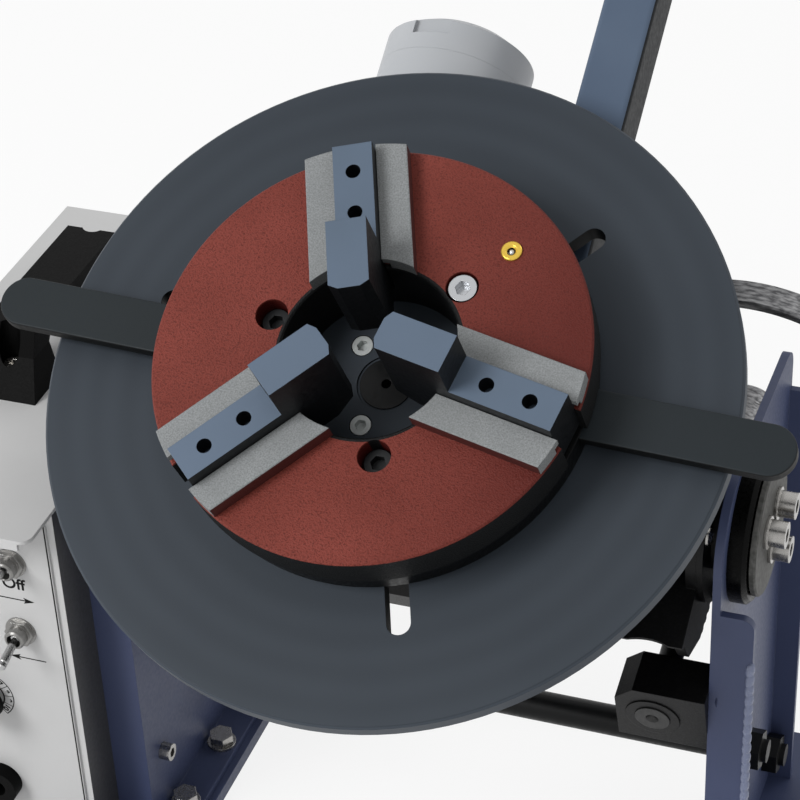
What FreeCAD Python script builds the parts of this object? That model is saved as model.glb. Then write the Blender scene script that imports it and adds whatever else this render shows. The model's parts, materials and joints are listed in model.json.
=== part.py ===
import FreeCAD, Part
import math
import os

from FreeCAD import Placement, Rotation, Vector

# Bench welding positioner: two folded uprights carry a tilting gearbox, and its table
# turns a scroll chuck worked by two lever bars. All lengths are in millimetres.
# Row frame: X to the right, Y to the back, Z up. The origin is on the floor, midway
# between the foot bars and under the tilt axis. The table frame has its Z along the
# spindle with zero on the table face. The shaft frame has its Z along the tilt worm.

# Stance
tiltHeight = 248.0            # tilt axis above the floor
restTilt = 32.67              # table from the horizontal as photographed
tableDepth = 100.0            # table face in front of the tilt axis

# Clearances
slideGap = 0.3                # parts of different bodies that slide or sweep
shaftGap = 0.05               # radial, a shaft in its bush
screwGap = 0.4                # radial, a screw through a plate

# Turntable
tableRadius = 160.0
tableThick = 10.0
tableChamfer = 1.2
slotWidth = 10.8
slotInner = 76.0
slotOuter = 119.0
slotAngle = 48.3
tableScrewRadius = 22.5
tableScrewAngle = 14.3
tableScrewSize = 6.0

# Chuck body
chuckRadius = 98.7
chuckFace = 34.0              # painted face above the table
chuckRim = 13.9               # underside of the rim
chuckBore = 40.6
hubRadius = 60.0
recessRadius = 93.0
recessDepth = 3.9
chuckScrewRadius = 49.5
chuckScrewSize = 8.0
chuckScrewBore = 7.5
chuckScrewSeats = (25.0, 18.0, 18.0)
oilerRadius = 76.2
oilerAngle = 48.6

# Jaws and their ways
jawAngle = -11.7
jawWidth = 18.0
jawNose = 14.2
jawNoseFlat = 9.8
jawNoseChamfer = 2.2
jawBlockOuter = 47.1
jawOuter = 95.5
jawTop = 69.3
jawStep = 48.9
jawBottom = 18.0
jawBlockBottom = 27.0
jawToothBottom = 14.1
jawHoles = (61.1, 81.7)
jawHoleRadius = 3.4
jawHoleDepth = 11.0
tongueWidth = 24.0
tongueBottom = 34.4
tongueTop = 37.9
wayWidth = 46.9
wayTop = 41.9

# Scroll ring and lever bars
scrollPitch = 8.0
ridgeWidth = 3.0
jawToothWidth = 3.5
scrollOuter = 96.5
scrollBottom = 0.3
scrollTop = 13.6
ridgeTop = 17.2
ridgeStart = 62.6
ridgeTurns = 3.4
leverTip = 188.5
leverWidth = 24.2
leverBottom = 7.0
leverTop = 12.65
leverAngle = -2.0
leverSeat = 76.0

# Spindle and its worm wheel
spindleFlange = 36.0
spindleFlangeThick = 12.0
spindleNose = 12.25
spindleCentreHole = 2.2
spindleFront = 20.0           # radius in the front bearing
spindleWheelSeat = 17.5
spindleRear = 15.0            # radius in the rear bearing
frontBearing = (34.0, 15.0)   # outer radius, width
rearBearing = (27.5, 13.0)
driveModule = 1.5
driveTeeth = 36
driveWormRadius = 8.5         # pitch radius
driveWormTurns = 6
wheelWidth = 14.0
driveHeight = -75.0           # worm wheel in the table frame

# Gearbox on the tilt casting, table frame
gearboxLeft = -66.0
gearboxRight = 76.0
gearboxHalf = 50.0
gearboxFace = -52.0
gearboxWall = 8.0
bossRadius = 42.0
bossTop = -24.0
motorRadius = 38.0
motorEnd = 214.0
motorCapLength = 22.0
motorBossDepth = 18.0
driveShaft = 6.0
driveBushRadius = 13.0
driveTailRadius = 5.0
driveTailBush = 9.0
coverThick = 4.0

# Torch arm on the gearbox face
armLeft = 43.5
armRight = 69.5
armFront = -30.0
armBack = 330.0
armTop = -22.0
armWall = 2.0
armScrews = (-14.0, 24.0)

# Tilt casting, about the tilt axis
plateFront = 8.0              # front plate face ahead of the axis
plateThick = 8.0
beamBack = -34.0
castLower = -66.0
castUpper = 34.0
innerWall = 103.0
innerThick = 7.0
cheekInner = 135.5
cheekThick = 5.0
cheekSweep = 66.5
lipLower = -68.2              # lower edge of the lip beside the sector
lipEdge = 2.0                 # square part of that edge
lipRelief = -58.0             # its back, clear of the worm at full tilt
lipUpper = -24.5
lipNotch = 1.9                # shallow wave over the worm shaft
lipNotchRadius = 26.0
bridgeThick = 7.0
bridgeBack = -8.0

# Trunnions
trunnionRadius = 15.0
journalRadius = 24.0
journalEnd = 163.4
trunnionFlange = 40.0
trunnionFlangeThick = 3.0
trunnionScrewRadius = 34.4
trunnionScrewAngle = -112.2
housingRadius = 37.5
housingEnd = 162.8
housingChamfer = 2.0
bushWall = 3.0
housingScrewRadius = 32.5
capRadius = 33.0
capThick = 3.0
capScrewSize = 8.0
capScrewRadius = 12.0
capScrewAngle = 35.0
capWasher = (8.0, 1.6)        # radius, thickness
capScrewLowHead = 3.0         # on the left, beside the control box

# Tilt worm drive
tiltModule = 2.0
tiltTeeth = 60
tiltWormRadius = 9.0
tiltWormTurns = 6
wormX = 124.0
wormRise = 17.0               # slope of the shaft up to the handwheel
sectorWidth = 16.0
sectorWeb = 8.0
sectorRim = 10.0
sectorHub = 24.0
sectorFirst = -172.7          # arc of teeth about the axis, table frame
sectorLast = -62.7

# Worm blocks, shaft frame with zero under the tilt axis
blockFront = -71.3
blockDepth = 22.5
blockRear = 48.7
blockHalf = 20.0
blockLeft = 106.0
blockChamfer = 9.0
shaftRadius = 8.5
wormBush = 13.2
bushFace = 0.6
blockScrewOffset = 12.0

# Handwheel, shaft frame
wheelPlace = 131.7            # middle of the rim along the shaft
wheelRadius = 77.7
rimWidth = 14.9
rimThick = 5.6
wheelHub = 16.5
wheelHubFront = -34.0         # from the middle of the rim
wheelHubBack = -8.0
spokeCount = 3
spokeAngle = 10.0
spokeWidth = 15.0
spokeThick = 7.0
gripPlace = 66.5
gripAngle = -20.0
gripRadius = 10.0
gripLength = 58.0
gripPin = 4.0

# Uprights
webInner = 150.0
sheet = 4.0
uprightFront = -46.0
uprightBack = 96.0
uprightTop = tiltHeight + 39.0
frontCorner = 35.0
backCorner = 12.0
frontFlange = 20.0            # from the inner face of the web
frontFlangeTop = tiltHeight - 20.0
backFlange = 16.0
backFlangeTop = tiltHeight + 14.0
flangeCorner = 6.0
footWidth = 18.0

# Foot bars and tie rods
barThick = 8.0
barInner = 128.0
barOuter = 178.0
barHalf = 130.0
benchX = 153.0
benchY = 115.0
benchHole = 5.25
footScrewX = 141.0
footScrewsY = (-25.0, 25.0, 75.0)
tieRadius = 8.0
tieThread = 6.0
tiePlaces = ((30.0, 82.0), (80.0, 35.5))
nutRadius = 11.0
nutThick = 8.0

# Control box
boxRight = -170.0
boxLeft = -288.5
boxFront = -71.5
lidFront = -97.0
boxBack = 196.0
boxTop = 236.2
boxBottom = 11.0
boxSheet = 1.5
lidThick = 2.0
lidSkirt = 9.0
lidCorner = 6.0
panelBorder = 4.0
panelThick = 1.2
windowMargin = 16.0
panelScrewInset = 9.0
panelScrewSize = 3.0
spacerRadius = 7.0
housingSpacerDrop = 53.0      # below the tilt axis, clear of the trunnion housing
spacerPlaces = ((-28.0, 50.0), (30.0, 50.0), (-30.0, tiltHeight - housingSpacerDrop),
                (80.0, 225.0))
toggles = ((-196.1, 200.6), (-196.5, 157.2))
toggleTilts = (-14.0, 14.0)   # power tipped up, direction tipped down
switchBush = 5.4
switchBore = 3.7
switchBushOut = 9.0           # in front of the panel
switchPivot = 4.8             # in front of the panel
switchNut = 8.0               # to a corner
switchWasher = (8.4, 0.7)     # radius, thickness
batReach = 20.4               # from its pivot
dialX = -222.0
dialZ = 109.0
fuseX = -266.0
socketZ = 50.0
glandX = -262.0
glandZ = 48.0

# Carry handle on the lid
handleX = -236.0
handleY0 = 9.0
handleY1 = 142.0
handleHeight = 36.0
handleFoot = 36.0
handleBridge = 28.0


def cyl(radius, low, high, x=0.0, y=0.0):
    return Part.makeCylinder(radius, high - low, Vector(x, y, low))


def ring(outer, inner, low, high, x=0.0, y=0.0):
    return cyl(outer, low, high, x, y).cut(cyl(inner, low - 1, high + 1, x, y))


def box(x0, x1, y0, y1, z0, z1):
    return Part.makeBox(x1 - x0, y1 - y0, z1 - z0, Vector(x0, y0, z0))


def alongX(radius, x0, x1, y, z):
    return Part.makeCylinder(radius, x1 - x0, Vector(x0, y, z), Vector(1, 0, 0))


def alongY(radius, y0, y1, x, z):
    return Part.makeCylinder(radius, y1 - y0, Vector(x, y0, z), Vector(0, 1, 0))


def face(points):
    return Part.Face(Part.makePolygon([Vector(*p) for p in points + points[:1]]))


def turned(profile):
    """Revolve an outline of (radius, height) points about Z."""
    return face([(r, 0, z) for r, z in profile]).revolve(
        Vector(0, 0, 0), Vector(0, 0, 1), 360)


def prism(points, low, high):
    """Extrude an outline of (x, y) points from one height to another."""
    return face([(x, y, low) for x, y in points]).extrude(Vector(0, 0, high - low))


def slabX(points, x0, x1):
    """Extrude an outline of (y, z) points along X."""
    return face([(x0, y, z) for y, z in points]).extrude(Vector(x1 - x0, 0, 0))


def spin(shape, angle, axis=Vector(0, 0, 1), about=Vector(0, 0, 0)):
    copy = shape.copy()
    copy.rotate(about, axis, angle)
    return copy


def moved(shape, x, y, z):
    copy = shape.copy()
    copy.translate(Vector(x, y, z))
    return copy


def flipX(shape):
    return shape.mirror(Vector(0, 0, 0), Vector(1, 0, 0))


def pair(shape):
    """The shape and its mirror image on the left."""
    return Part.makeCompound([shape, flipX(shape)])


def polar(radius, angle):
    a = math.radians(angle)
    return radius * math.cos(a), radius * math.sin(a)


def around(radius, first, count):
    return [polar(radius, first + 360.0 / count * k) for k in range(count)]


def rounded(shape, radius, wanted):
    """Fillet the edges that the test accepts by their middle."""
    edges = [e for e in shape.Edges if wanted(e.CenterOfMass)]
    return shape.makeFillet(radius, edges)


def hexagon(radius, low, high):
    return prism([polar(radius, 60 * k) for k in range(6)], low, high)


def capScrew(size, length, seat=0.0, x=0.0, y=0.0):
    """Socket-head screw along Z, its head standing on the seat."""
    screw = cyl(size * 0.8, seat, seat + size, x, y)
    screw = screw.fuse(cyl(size / 2, seat - length, seat, x, y))
    return screw.cut(moved(hexagon(size * 0.45, seat + size * 0.45, seat + size + 1), x, y, 0))


def flatScrew(size, length, top=0.0, x=0.0, y=0.0):
    """Countersunk screw along Z, flush with the top."""
    depth = size / 2
    screw = Part.makeCone(size / 2, size, depth, Vector(x, y, top - depth))
    screw = screw.fuse(cyl(size / 2, top - length, top - depth, x, y))
    return screw.cut(moved(hexagon(size * 0.32, top - size * 0.4, top + 1), x, y, 0))


def flatSeat(size, length):
    """The hole that a countersunk screw sits in."""
    depth = size / 2
    return Part.makeCone(size / 2, size, depth, Vector(0, 0, -depth)).fuse(
        cyl(size / 2, -length, -depth))


def buttonScrew(size, length, seat=0.0, x=0.0, y=0.0, head=None):
    head = head or size * 0.55
    screw = turned([(0, 0), (size * 0.9, 0), (size * 0.85, head * 0.45), (size * 0.5, head),
                    (0, head)])
    screw = screw.cut(hexagon(size * 0.3, head * 0.4, head + 1))
    return moved(screw.fuse(cyl(size / 2, -length, 0)), x, y, seat)


def towardX(shape, x, y, z):
    """Turn a shape drawn along Z to point along X, and set it in place."""
    return moved(spin(shape, 90, Vector(0, 1, 0)), x, y, z)


def towardBack(shape, x, y, z):
    """Turn a shape drawn along Z to point along Y, and set it in place."""
    return moved(spin(shape, -90, Vector(1, 0, 0)), x, y, z)


def towardFront(shape, x, y, z):
    return moved(spin(shape, 90, Vector(1, 0, 0)), x, y, z)


# Frames and shared places
axisPoint = Vector(0, 0, tiltHeight)
tableFrame = Placement(axisPoint, Rotation(Vector(1, 0, 0), restTilt)).multiply(
    Placement(Vector(0, 0, tableDepth), Rotation()))
shaftTurn = Rotation(Vector(1, 0, 0), wormRise - 90)
wormDrop = tiltTeeth * tiltModule / 2 + tiltWormRadius
shaftFrame = Placement(axisPoint + shaftTurn.multVec(Vector(0, wormDrop, 0)), shaftTurn)
axisDepth = -tableDepth
slots = [slotAngle + 120 * k for k in range(3)]
handleScrewsY = (handleY0 + 15, handleY1 - 15)
jaws = [jawAngle + 120 * k for k in range(3)]
driveX = -driveTeeth * driveModule / 2 - driveWormRadius
rearWall = axisDepth + beamBack + gearboxWall
bossShoulder = bossTop - 2.0 - frontBearing[1]


def placed(shape, placement):
    copy = shape.copy()
    copy.Placement = placement.multiply(copy.Placement)
    return copy


def onTable(shape):
    return placed(shape, tableFrame)


def onShaft(shape):
    return placed(shape, shaftFrame)


# Gears

def leadAngle(module, radius):
    return math.degrees(math.atan(module / (2 * radius)))


def wheelTeethSet(module, teeth, radius, width, phase, count):
    """Straight-sided teeth, each leaned by the worm's lead, and the root radius."""
    pitch = teeth * module / 2
    tip = pitch + module
    root = pitch - 1.25 * module
    foot = 0.95 * module
    crest = 0.42 * module
    tooth = prism([(root - 1, -foot), (root, -foot), (tip, -crest), (tip, crest),
                   (root, foot), (root - 1, foot)], -width, width)
    tooth = spin(tooth, -leadAngle(module, radius), Vector(1, 0, 0))
    tooth = tooth.common(box(0, tip + 1, -width, width, -width / 2, width / 2))
    return root, [spin(tooth, phase + 360.0 / teeth * k) for k in range(count)]


def wormThread(module, radius, turns, phase):
    """Single-start right-hand worm along Z, a crest at zero height facing the phase."""
    pitch = math.pi * module
    root = radius - 1.25 * module
    tip = radius + module
    length = turns * pitch
    foot = 0.95 * module
    crest = 0.36 * module
    sink = root - 0.3
    profile = Part.makePolygon([Vector(sink, 0, -foot), Vector(tip, 0, -crest),
                                Vector(tip, 0, crest), Vector(sink, 0, foot),
                                Vector(sink, 0, -foot)])
    helix = Part.Wire(Part.makeHelix(pitch, length, radius))
    thread = helix.makePipeShell([profile], True, True)
    core = cyl(root, -pitch, length + pitch)
    return moved(spin(core.fuse(thread), phase), 0, 0, -length / 2)


# Turntable and spindle, table frame

def turntable():
    edge = tableChamfer
    disc = turned([(spindleNose, -tableThick), (tableRadius - edge, -tableThick),
                   (tableRadius, edge - tableThick), (tableRadius, -edge),
                   (tableRadius - edge, 0), (spindleNose + 1.2, 0), (spindleNose + 1.2, -1.0),
                   (spindleNose, -1.0)])
    half = slotWidth / 2
    slot = box(slotInner, slotOuter - half, -half, half, -tableThick - 1, 1)
    slot = slot.fuse([cyl(half, -tableThick - 1, 1, slotInner),
                      cyl(half, -tableThick - 1, 1, slotOuter - half)])
    cuts = [spin(slot, angle) for angle in slots]
    cuts += [cyl(chuckScrewSize / 2, -tableThick - 1, 1, x, y)
             for x, y in around(chuckScrewRadius, slotAngle, 3)]
    for x, y in around(tableScrewRadius, tableScrewAngle, 3):
        cuts.append(cyl(tableScrewSize / 2 + screwGap, -tableThick - 1, 1, x, y))
        cuts.append(cyl(tableScrewSize * 0.8 + screwGap, -tableScrewSize, 1, x, y))
    return disc.cut(cuts)


def tableScrews():
    return Part.makeCompound([capScrew(tableScrewSize, 14.0, -tableScrewSize, x, y)
                              for x, y in around(tableScrewRadius, tableScrewAngle, 3)])


def spindle():
    flangeTop = -tableThick
    flangeLow = flangeTop - spindleFlangeThick
    wheelTop = driveHeight + wheelWidth / 2
    wheelLow = driveHeight - wheelWidth / 2
    tail = axisDepth + beamBack + 1.5
    shape = turned([(0, -0.4), (spindleNose, -0.4), (spindleNose, flangeTop),
                    (spindleFlange, flangeTop), (spindleFlange, flangeLow),
                    (spindleFront + 3, flangeLow), (spindleFront + 3, bossTop - 2.0),
                    (spindleFront, bossTop - 2.0), (spindleFront, wheelTop),
                    (spindleWheelSeat, wheelTop), (spindleWheelSeat, wheelLow - 12),
                    (spindleRear, wheelLow - 12), (spindleRear, tail), (0, tail)])
    shape = shape.cut(cyl(spindleCentreHole, -9, 1))
    return shape.cut([cyl(tableScrewSize / 2, flangeLow - 1, flangeTop + 1, x, y)
                      for x, y in around(tableScrewRadius, tableScrewAngle, 3)])


def spindleWheel():
    root, teeth = wheelTeethSet(driveModule, driveTeeth, driveWormRadius, wheelWidth,
                                180.0 / driveTeeth, driveTeeth)
    disc = ring(root, spindleWheelSeat, -wheelWidth / 2, wheelWidth / 2)
    return moved(disc.multiFuse(teeth), 0, 0, driveHeight)


def spindleBearings():
    front = ring(frontBearing[0], spindleFront, bossShoulder, bossTop - 2.0)
    rear = ring(rearBearing[0], spindleRear, rearWall, rearWall + rearBearing[1])
    groove = 0.8
    cut = ring(frontBearing[0] - 4, spindleFront + 4, bossTop - 2.0 - groove, bossTop)
    front = front.cut(cut)
    return Part.makeCompound([front.cut(cyl(spindleFront + shaftGap, -200, 0)),
                              rear.cut(cyl(spindleRear + shaftGap, -200, 0))])


def driveWorm():
    worm = wormThread(driveModule, driveWormRadius, driveWormTurns, 0)
    worm = worm.fuse([cyl(driveShaft, 0, gearboxHalf + 16),
                      cyl(driveTailRadius, 2 - gearboxHalf, 0)])
    return towardBack(worm, driveX, 0, driveHeight)


def driveBushes():
    near = ring(driveBushRadius, driveShaft + shaftGap, gearboxHalf - gearboxWall, gearboxHalf)
    far = ring(driveTailBush, driveTailRadius + shaftGap, 2 - gearboxHalf,
               gearboxWall - gearboxHalf)
    return Part.makeCompound([towardBack(near, driveX, 0, driveHeight),
                              towardBack(far, driveX, 0, driveHeight)])


def motor():
    body = cyl(motorRadius, gearboxHalf, motorEnd - motorCapLength)
    bore = cyl(driveShaft + 1, gearboxHalf - 1, gearboxHalf + 18)
    groove = ring(motorRadius + 1, motorRadius - 1.2, gearboxHalf + 42, gearboxHalf + 44)
    return towardBack(body.cut([bore, groove]), driveX, 0, driveHeight)


def motorCap():
    low = motorEnd - motorCapLength
    cone = turned([(0, low), (motorRadius, low), (motorRadius, motorEnd - 6),
                   (motorRadius - 9, motorEnd), (0, motorEnd)])
    notch = box(-16, 3, -motorRadius - 1, 6 - motorRadius, motorEnd - 13, motorEnd + 1)
    return towardBack(cone.cut(notch), driveX, 0, driveHeight)


# Chuck, table frame

def chuckBody():
    lid = chuckRim + recessDepth
    edge = 0.8
    body = turned([(chuckBore, 0), (hubRadius, 0), (hubRadius, lid), (recessRadius, lid),
                   (recessRadius, chuckRim), (chuckRadius, chuckRim),
                   (chuckRadius, chuckFace - edge), (chuckRadius - edge, chuckFace),
                   (chuckBore + edge, chuckFace), (chuckBore, chuckFace - edge)])
    half = jawWidth / 2 + slideGap
    slot = box(0, chuckRadius + 5, -half, half, jawToothBottom - slideGap, chuckFace + 1)
    cuts = [spin(slot, angle) for angle in jaws]
    for seat, (x, y) in zip(chuckScrewSeats, around(chuckScrewRadius, slotAngle, 3)):
        cuts.append(cyl(chuckScrewSize / 2 + screwGap, -1, chuckFace, x, y))
        cuts.append(cyl(chuckScrewBore, seat, chuckFace + 1, x, y))
    x, y = polar(oilerRadius, oilerAngle)
    cuts.append(cyl(3.0, chuckFace - 6.0, chuckFace + 1, x, y))
    return body.cut(cuts)


def chuckScrews():
    places = around(chuckScrewRadius, slotAngle, 3)
    return Part.makeCompound([capScrew(chuckScrewSize, seat + 8.0, seat, x, y)
                              for seat, (x, y) in zip(chuckScrewSeats, places)])


def oiler():
    x, y = polar(oilerRadius, oilerAngle)
    cup = turned([(1.6, -6.0), (3.0, -6.0), (3.0, 0), (4.7, 0), (4.7, 0.8), (4.2, 1.2),
                  (2.6, 1.2), (1.6, 0.5)])
    ball = Part.makeSphere(1.55, Vector(0, 0, -1.0))
    return Part.makeCompound([moved(cup, x, y, chuckFace), moved(ball, x, y, chuckFace)])


def jawWays():
    """A ground strip on each side of every slot, undercut for the jaw's tongue."""
    inner = jawWidth / 2 + slideGap
    groove = tongueWidth / 2 + slideGap
    outer = wayWidth / 2
    step = tongueTop + slideGap
    strip = slabX([(groove, chuckFace), (outer, chuckFace), (outer, wayTop - 0.4),
                   (outer - 0.4, wayTop), (inner, wayTop), (inner, step), (groove, step)],
                  0, chuckRadius)
    strip = strip.common(ring(chuckRadius - 0.4, chuckBore + 0.4, 0, wayTop + 1))
    other = strip.mirror(Vector(0, 0, 0), Vector(0, 1, 0))
    return Part.makeCompound([spin(s, angle) for angle in jaws for s in (strip, other)])


def ridgeRadius(angle):
    """Centre of the scroll ridge at an angle; it grows clockwise."""
    return ridgeStart - scrollPitch * angle / 360.0


def jawTeeth(angle):
    """Arcs between the ridges, at the radii that the ridge leaves free on this jaw."""
    half = jawWidth / 2 - 0.3
    strip = box(0, jawOuter - 0.5, -half, half, jawToothBottom, jawBottom + 0.5)
    radius = ridgeRadius(angle) + scrollPitch / 2
    while radius > hubRadius - scrollPitch:
        radius -= scrollPitch
    teeth = []
    while radius + scrollPitch < jawOuter - jawToothWidth / 2:
        radius += scrollPitch
        if radius - jawToothWidth / 2 > hubRadius + 1:
            teeth.append(ring(radius + jawToothWidth / 2, radius - jawToothWidth / 2,
                              jawToothBottom, jawBottom + 0.5).common(strip))
    return teeth


def jaw(angle):
    half = jawWidth / 2
    side = [(jawNose, jawBlockBottom), (jawNose, jawTop), (jawBlockOuter, jawTop),
            (jawBlockOuter, jawStep), (jawOuter, jawStep), (jawOuter, jawBottom),
            (jawNose + 12, jawBottom)]
    body = face([(x, -half, z) for x, z in side]).extrude(Vector(0, jawWidth, 0))
    flat = jawNoseFlat / 2
    chamfer = prism([(jawNose - 1, flat), (jawNose, flat), (jawNose + jawNoseChamfer, half),
                     (jawNose + jawNoseChamfer, half + 1), (jawNose - 1, half + 1)],
                    jawBottom, jawTop + 1)
    body = body.cut([chamfer, chamfer.mirror(Vector(0, 0, 0), Vector(0, 1, 0))])
    body = body.fuse(box(jawBlockOuter - 4, jawOuter, -tongueWidth / 2, tongueWidth / 2,
                         tongueBottom, tongueTop))
    body = body.multiFuse(jawTeeth(angle)).removeSplitter()
    body = body.cut([cyl(jawHoleRadius, jawStep - jawHoleDepth, jawStep + 1, r)
                     for r in jawHoles])
    return spin(body, angle)


def spiral(offset, height):
    """One long smooth curve through the ridge's radii."""
    points = [Vector(*polar(ridgeRadius(-30.0 * k) + offset, -30.0 * k), height)
              for k in range(int(ridgeTurns * 12) + 1)]
    curve = Part.BSplineCurve()
    curve.interpolate(points)
    return curve.toShape()


def scrollRing():
    plate = ring(scrollOuter, hubRadius + slideGap, scrollBottom, scrollTop)
    sink = scrollTop - 0.5
    inner = spiral(-ridgeWidth / 2, sink)
    outer = spiral(ridgeWidth / 2, sink)
    caps = [Part.makeLine(inner.Vertexes[k].Point, outer.Vertexes[k].Point) for k in (0, -1)]
    outline = Part.Wire(Part.__sortEdges__([inner, outer] + caps))
    ridge = Part.Face(outline).extrude(Vector(0, 0, ridgeTop - sink))
    plate = plate.fuse(ridge)
    half = leverWidth / 2
    seat = box(leverSeat, scrollOuter + 1, -half, half, leverBottom, leverTop)
    return plate.cut([spin(seat, leverAngle), spin(seat, leverAngle + 180)])


def leverBars():
    half = leverWidth / 2
    bar = box(leverSeat, leverTip - half, -half, half, leverBottom, leverTop)
    bar = bar.fuse(cyl(half, leverBottom, leverTop, leverTip - half)).removeSplitter()
    bar = rounded(bar, 0.8, lambda c: abs(c.z - leverTop) < 0.01 and c.x > leverSeat + 5)
    return Part.makeCompound([spin(bar, leverAngle), spin(bar, leverAngle + 180)])


# Tilt casting, drawn about the tilt axis and then set in the table frame

def castingSide():
    """Cheek, lip and bridge outside the inner wall on the right."""
    outer = cheekInner + cheekThick
    side = slabX([(castLower, plateFront), (castUpper, plateFront), (castUpper, -14.0),
                  (18.0, -30.0), (-24.0, -36.0), (-50.0, -30.0), (castLower, -12.0)],
                 cheekInner, outer)
    side = side.common(alongX(cheekSweep, cheekInner, outer, 0, 0))
    side = side.fuse(alongX(trunnionFlange, cheekInner, outer, 0, 0))
    lip = slabX([(lipLower, plateFront), (lipUpper, plateFront), (lipUpper, 0.0),
                 (lipRelief, 0.0), (lipLower, plateFront - lipEdge)],
                innerWall - 1, outer)
    notch = cyl(lipNotchRadius, -1, plateFront + 1, wormX,
                lipLower + lipNotch - lipNotchRadius)
    lip = lip.cut(notch)
    bridge = box(innerWall - 1, cheekInner + 1, castUpper - bridgeThick, castUpper,
                 bridgeBack, plateFront)
    boss = alongX(trunnionFlange - 14, innerWall - 14, innerWall, 0, 0)
    return side.fuse([lip, bridge, boss])


def castingBody():
    beam = slabX([(castLower + 8, plateFront), (castUpper, plateFront), (castUpper, -20.0),
                  (castUpper - 14, beamBack), (-46.0, beamBack), (castLower, -16.0),
                  (castLower, 0.0)], -innerWall, innerWall)
    gearbox = box(gearboxLeft, gearboxRight, -gearboxHalf, gearboxHalf, 0.0,
                  tableDepth + gearboxFace)
    gearbox = rounded(gearbox, 5.0, lambda c: abs(abs(c.y) - gearboxHalf) < 0.1 and (
        abs(c.x - gearboxLeft) < 0.1 or abs(c.x - gearboxRight) < 0.1))
    boss = cyl(bossRadius, tableDepth + gearboxFace - 1, tableDepth + bossTop)
    motorSeat = alongY(motorRadius, gearboxHalf - motorBossDepth, gearboxHalf, driveX,
                       tableDepth + driveHeight)
    side = castingSide()
    return beam.multiFuse([gearbox, boss, motorSeat, side, flipX(side)])


def castingCuts():
    wall = gearboxWall
    inner = innerWall - innerThick
    face = tableDepth + gearboxFace
    low = beamBack + wall
    rear = rearBearing[0]
    cuts = [box(-inner, inner, castLower + wall, castUpper - wall, low, 0.0),
            box(gearboxLeft + wall, gearboxRight - wall, wall - gearboxHalf,
                castUpper - wall, -1.0, face - wall),
            box(gearboxLeft + wall, gearboxRight - wall, wall - gearboxHalf,
                gearboxHalf - wall, wall, face - wall),
            cyl(frontBearing[0], tableDepth + bossShoulder, tableDepth + bossTop + 1),
            cyl(spindleFront + 3, face - wall - 1, tableDepth + bossTop + 1),
            cyl(rear, beamBack - 1, low + rearBearing[1] + 1),
            alongX(trunnionRadius, -cheekInner - 20, cheekInner + 20, 0, 0),
            alongY(driveBushRadius, gearboxHalf - wall - 1, gearboxHalf + 1, driveX,
                   tableDepth + driveHeight),
            alongY(driveTailBush, 2 - gearboxHalf, wall + 1 - gearboxHalf, driveX,
                   tableDepth + driveHeight)]
    cuts += [cyl(2.5, beamBack - 1, low, x, y) for x, y in around(33.0, 45, 4)]
    return cuts


def tiltCasting():
    body = castingBody().cut(castingCuts())
    collar = ring(rearBearing[0] + 5, rearBearing[0], beamBack + gearboxWall - 1,
                  beamBack + gearboxWall + rearBearing[1])
    body = body.fuse(collar)
    armX = (armLeft + armRight) / 2
    body = body.cut([cyl(3.0, tableDepth + gearboxFace - 9, tableDepth + gearboxFace + 1,
                         armX, y) for y in armScrews])
    screws = [alongX(2.5, cheekInner - 1, cheekInner + cheekThick + 1, y, z)
              for y, z in around(trunnionScrewRadius, trunnionScrewAngle - restTilt, 4)]
    body = body.cut(screws + [flipX(s) for s in screws])
    return moved(body.removeSplitter(), 0, 0, axisDepth)



def torchArm():
    tube = box(armLeft, armRight, armFront, armBack, gearboxFace, armTop)
    tube = rounded(tube, 3.0, lambda c: abs(c.y - (armFront + armBack) / 2) < 1)
    tube = tube.cut(box(armLeft + armWall, armRight - armWall, armFront - 1, armBack + 1,
                        gearboxFace + armWall, armTop - armWall))
    middle = (armLeft + armRight) / 2
    return tube.cut([cyl(3.0 + screwGap, gearboxFace - 1, armTop + 1, middle, y)
                     for y in armScrews])


def torchArmScrews():
    middle = (armLeft + armRight) / 2
    return Part.makeCompound([capScrew(6.0, armTop - gearboxFace + 7, armTop, middle, y)
                              for y in armScrews])


def torchArmPlug():
    """Square plugs with a lip in both ends of the arm."""
    inset = armWall
    depth = 10.0
    plugs = []
    for lip, body in (((armFront - 2, armFront), (armFront, armFront + depth)),
                      ((armBack, armBack + 2), (armBack - depth, armBack))):
        cap = rounded(box(armLeft, armRight, lip[0], lip[1], gearboxFace, armTop), 3.0,
                      lambda c: abs(c.y - sum(lip) / 2) < 0.01)
        plugs.append(cap.fuse(box(armLeft + inset, armRight - inset, body[0], body[1],
                                  gearboxFace + inset, armTop - inset)))
    return Part.makeCompound(plugs)


def gearboxCover():
    back = axisDepth + beamBack
    plate = cyl(38.0, back - coverThick, back)
    lip = ring(rearBearing[0], rearBearing[0] - 3, back, rearWall)
    return plate.fuse(lip).cut([cyl(2.5 + screwGap, back - coverThick - 1, back + 1, x, y)
                                for x, y in around(33.0, 45, 4)])


def gearboxScrews():
    back = axisDepth + beamBack - coverThick
    screws = [spin(buttonScrew(5.0, coverThick + 7.0), 180, Vector(1, 0, 0))
              for _ in range(4)]
    return Part.makeCompound([moved(s, x, y, back)
                              for s, (x, y) in zip(screws, around(33.0, 45, 4))])


# Trunnions, drawn along Z from the middle plane and turned to X

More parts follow.
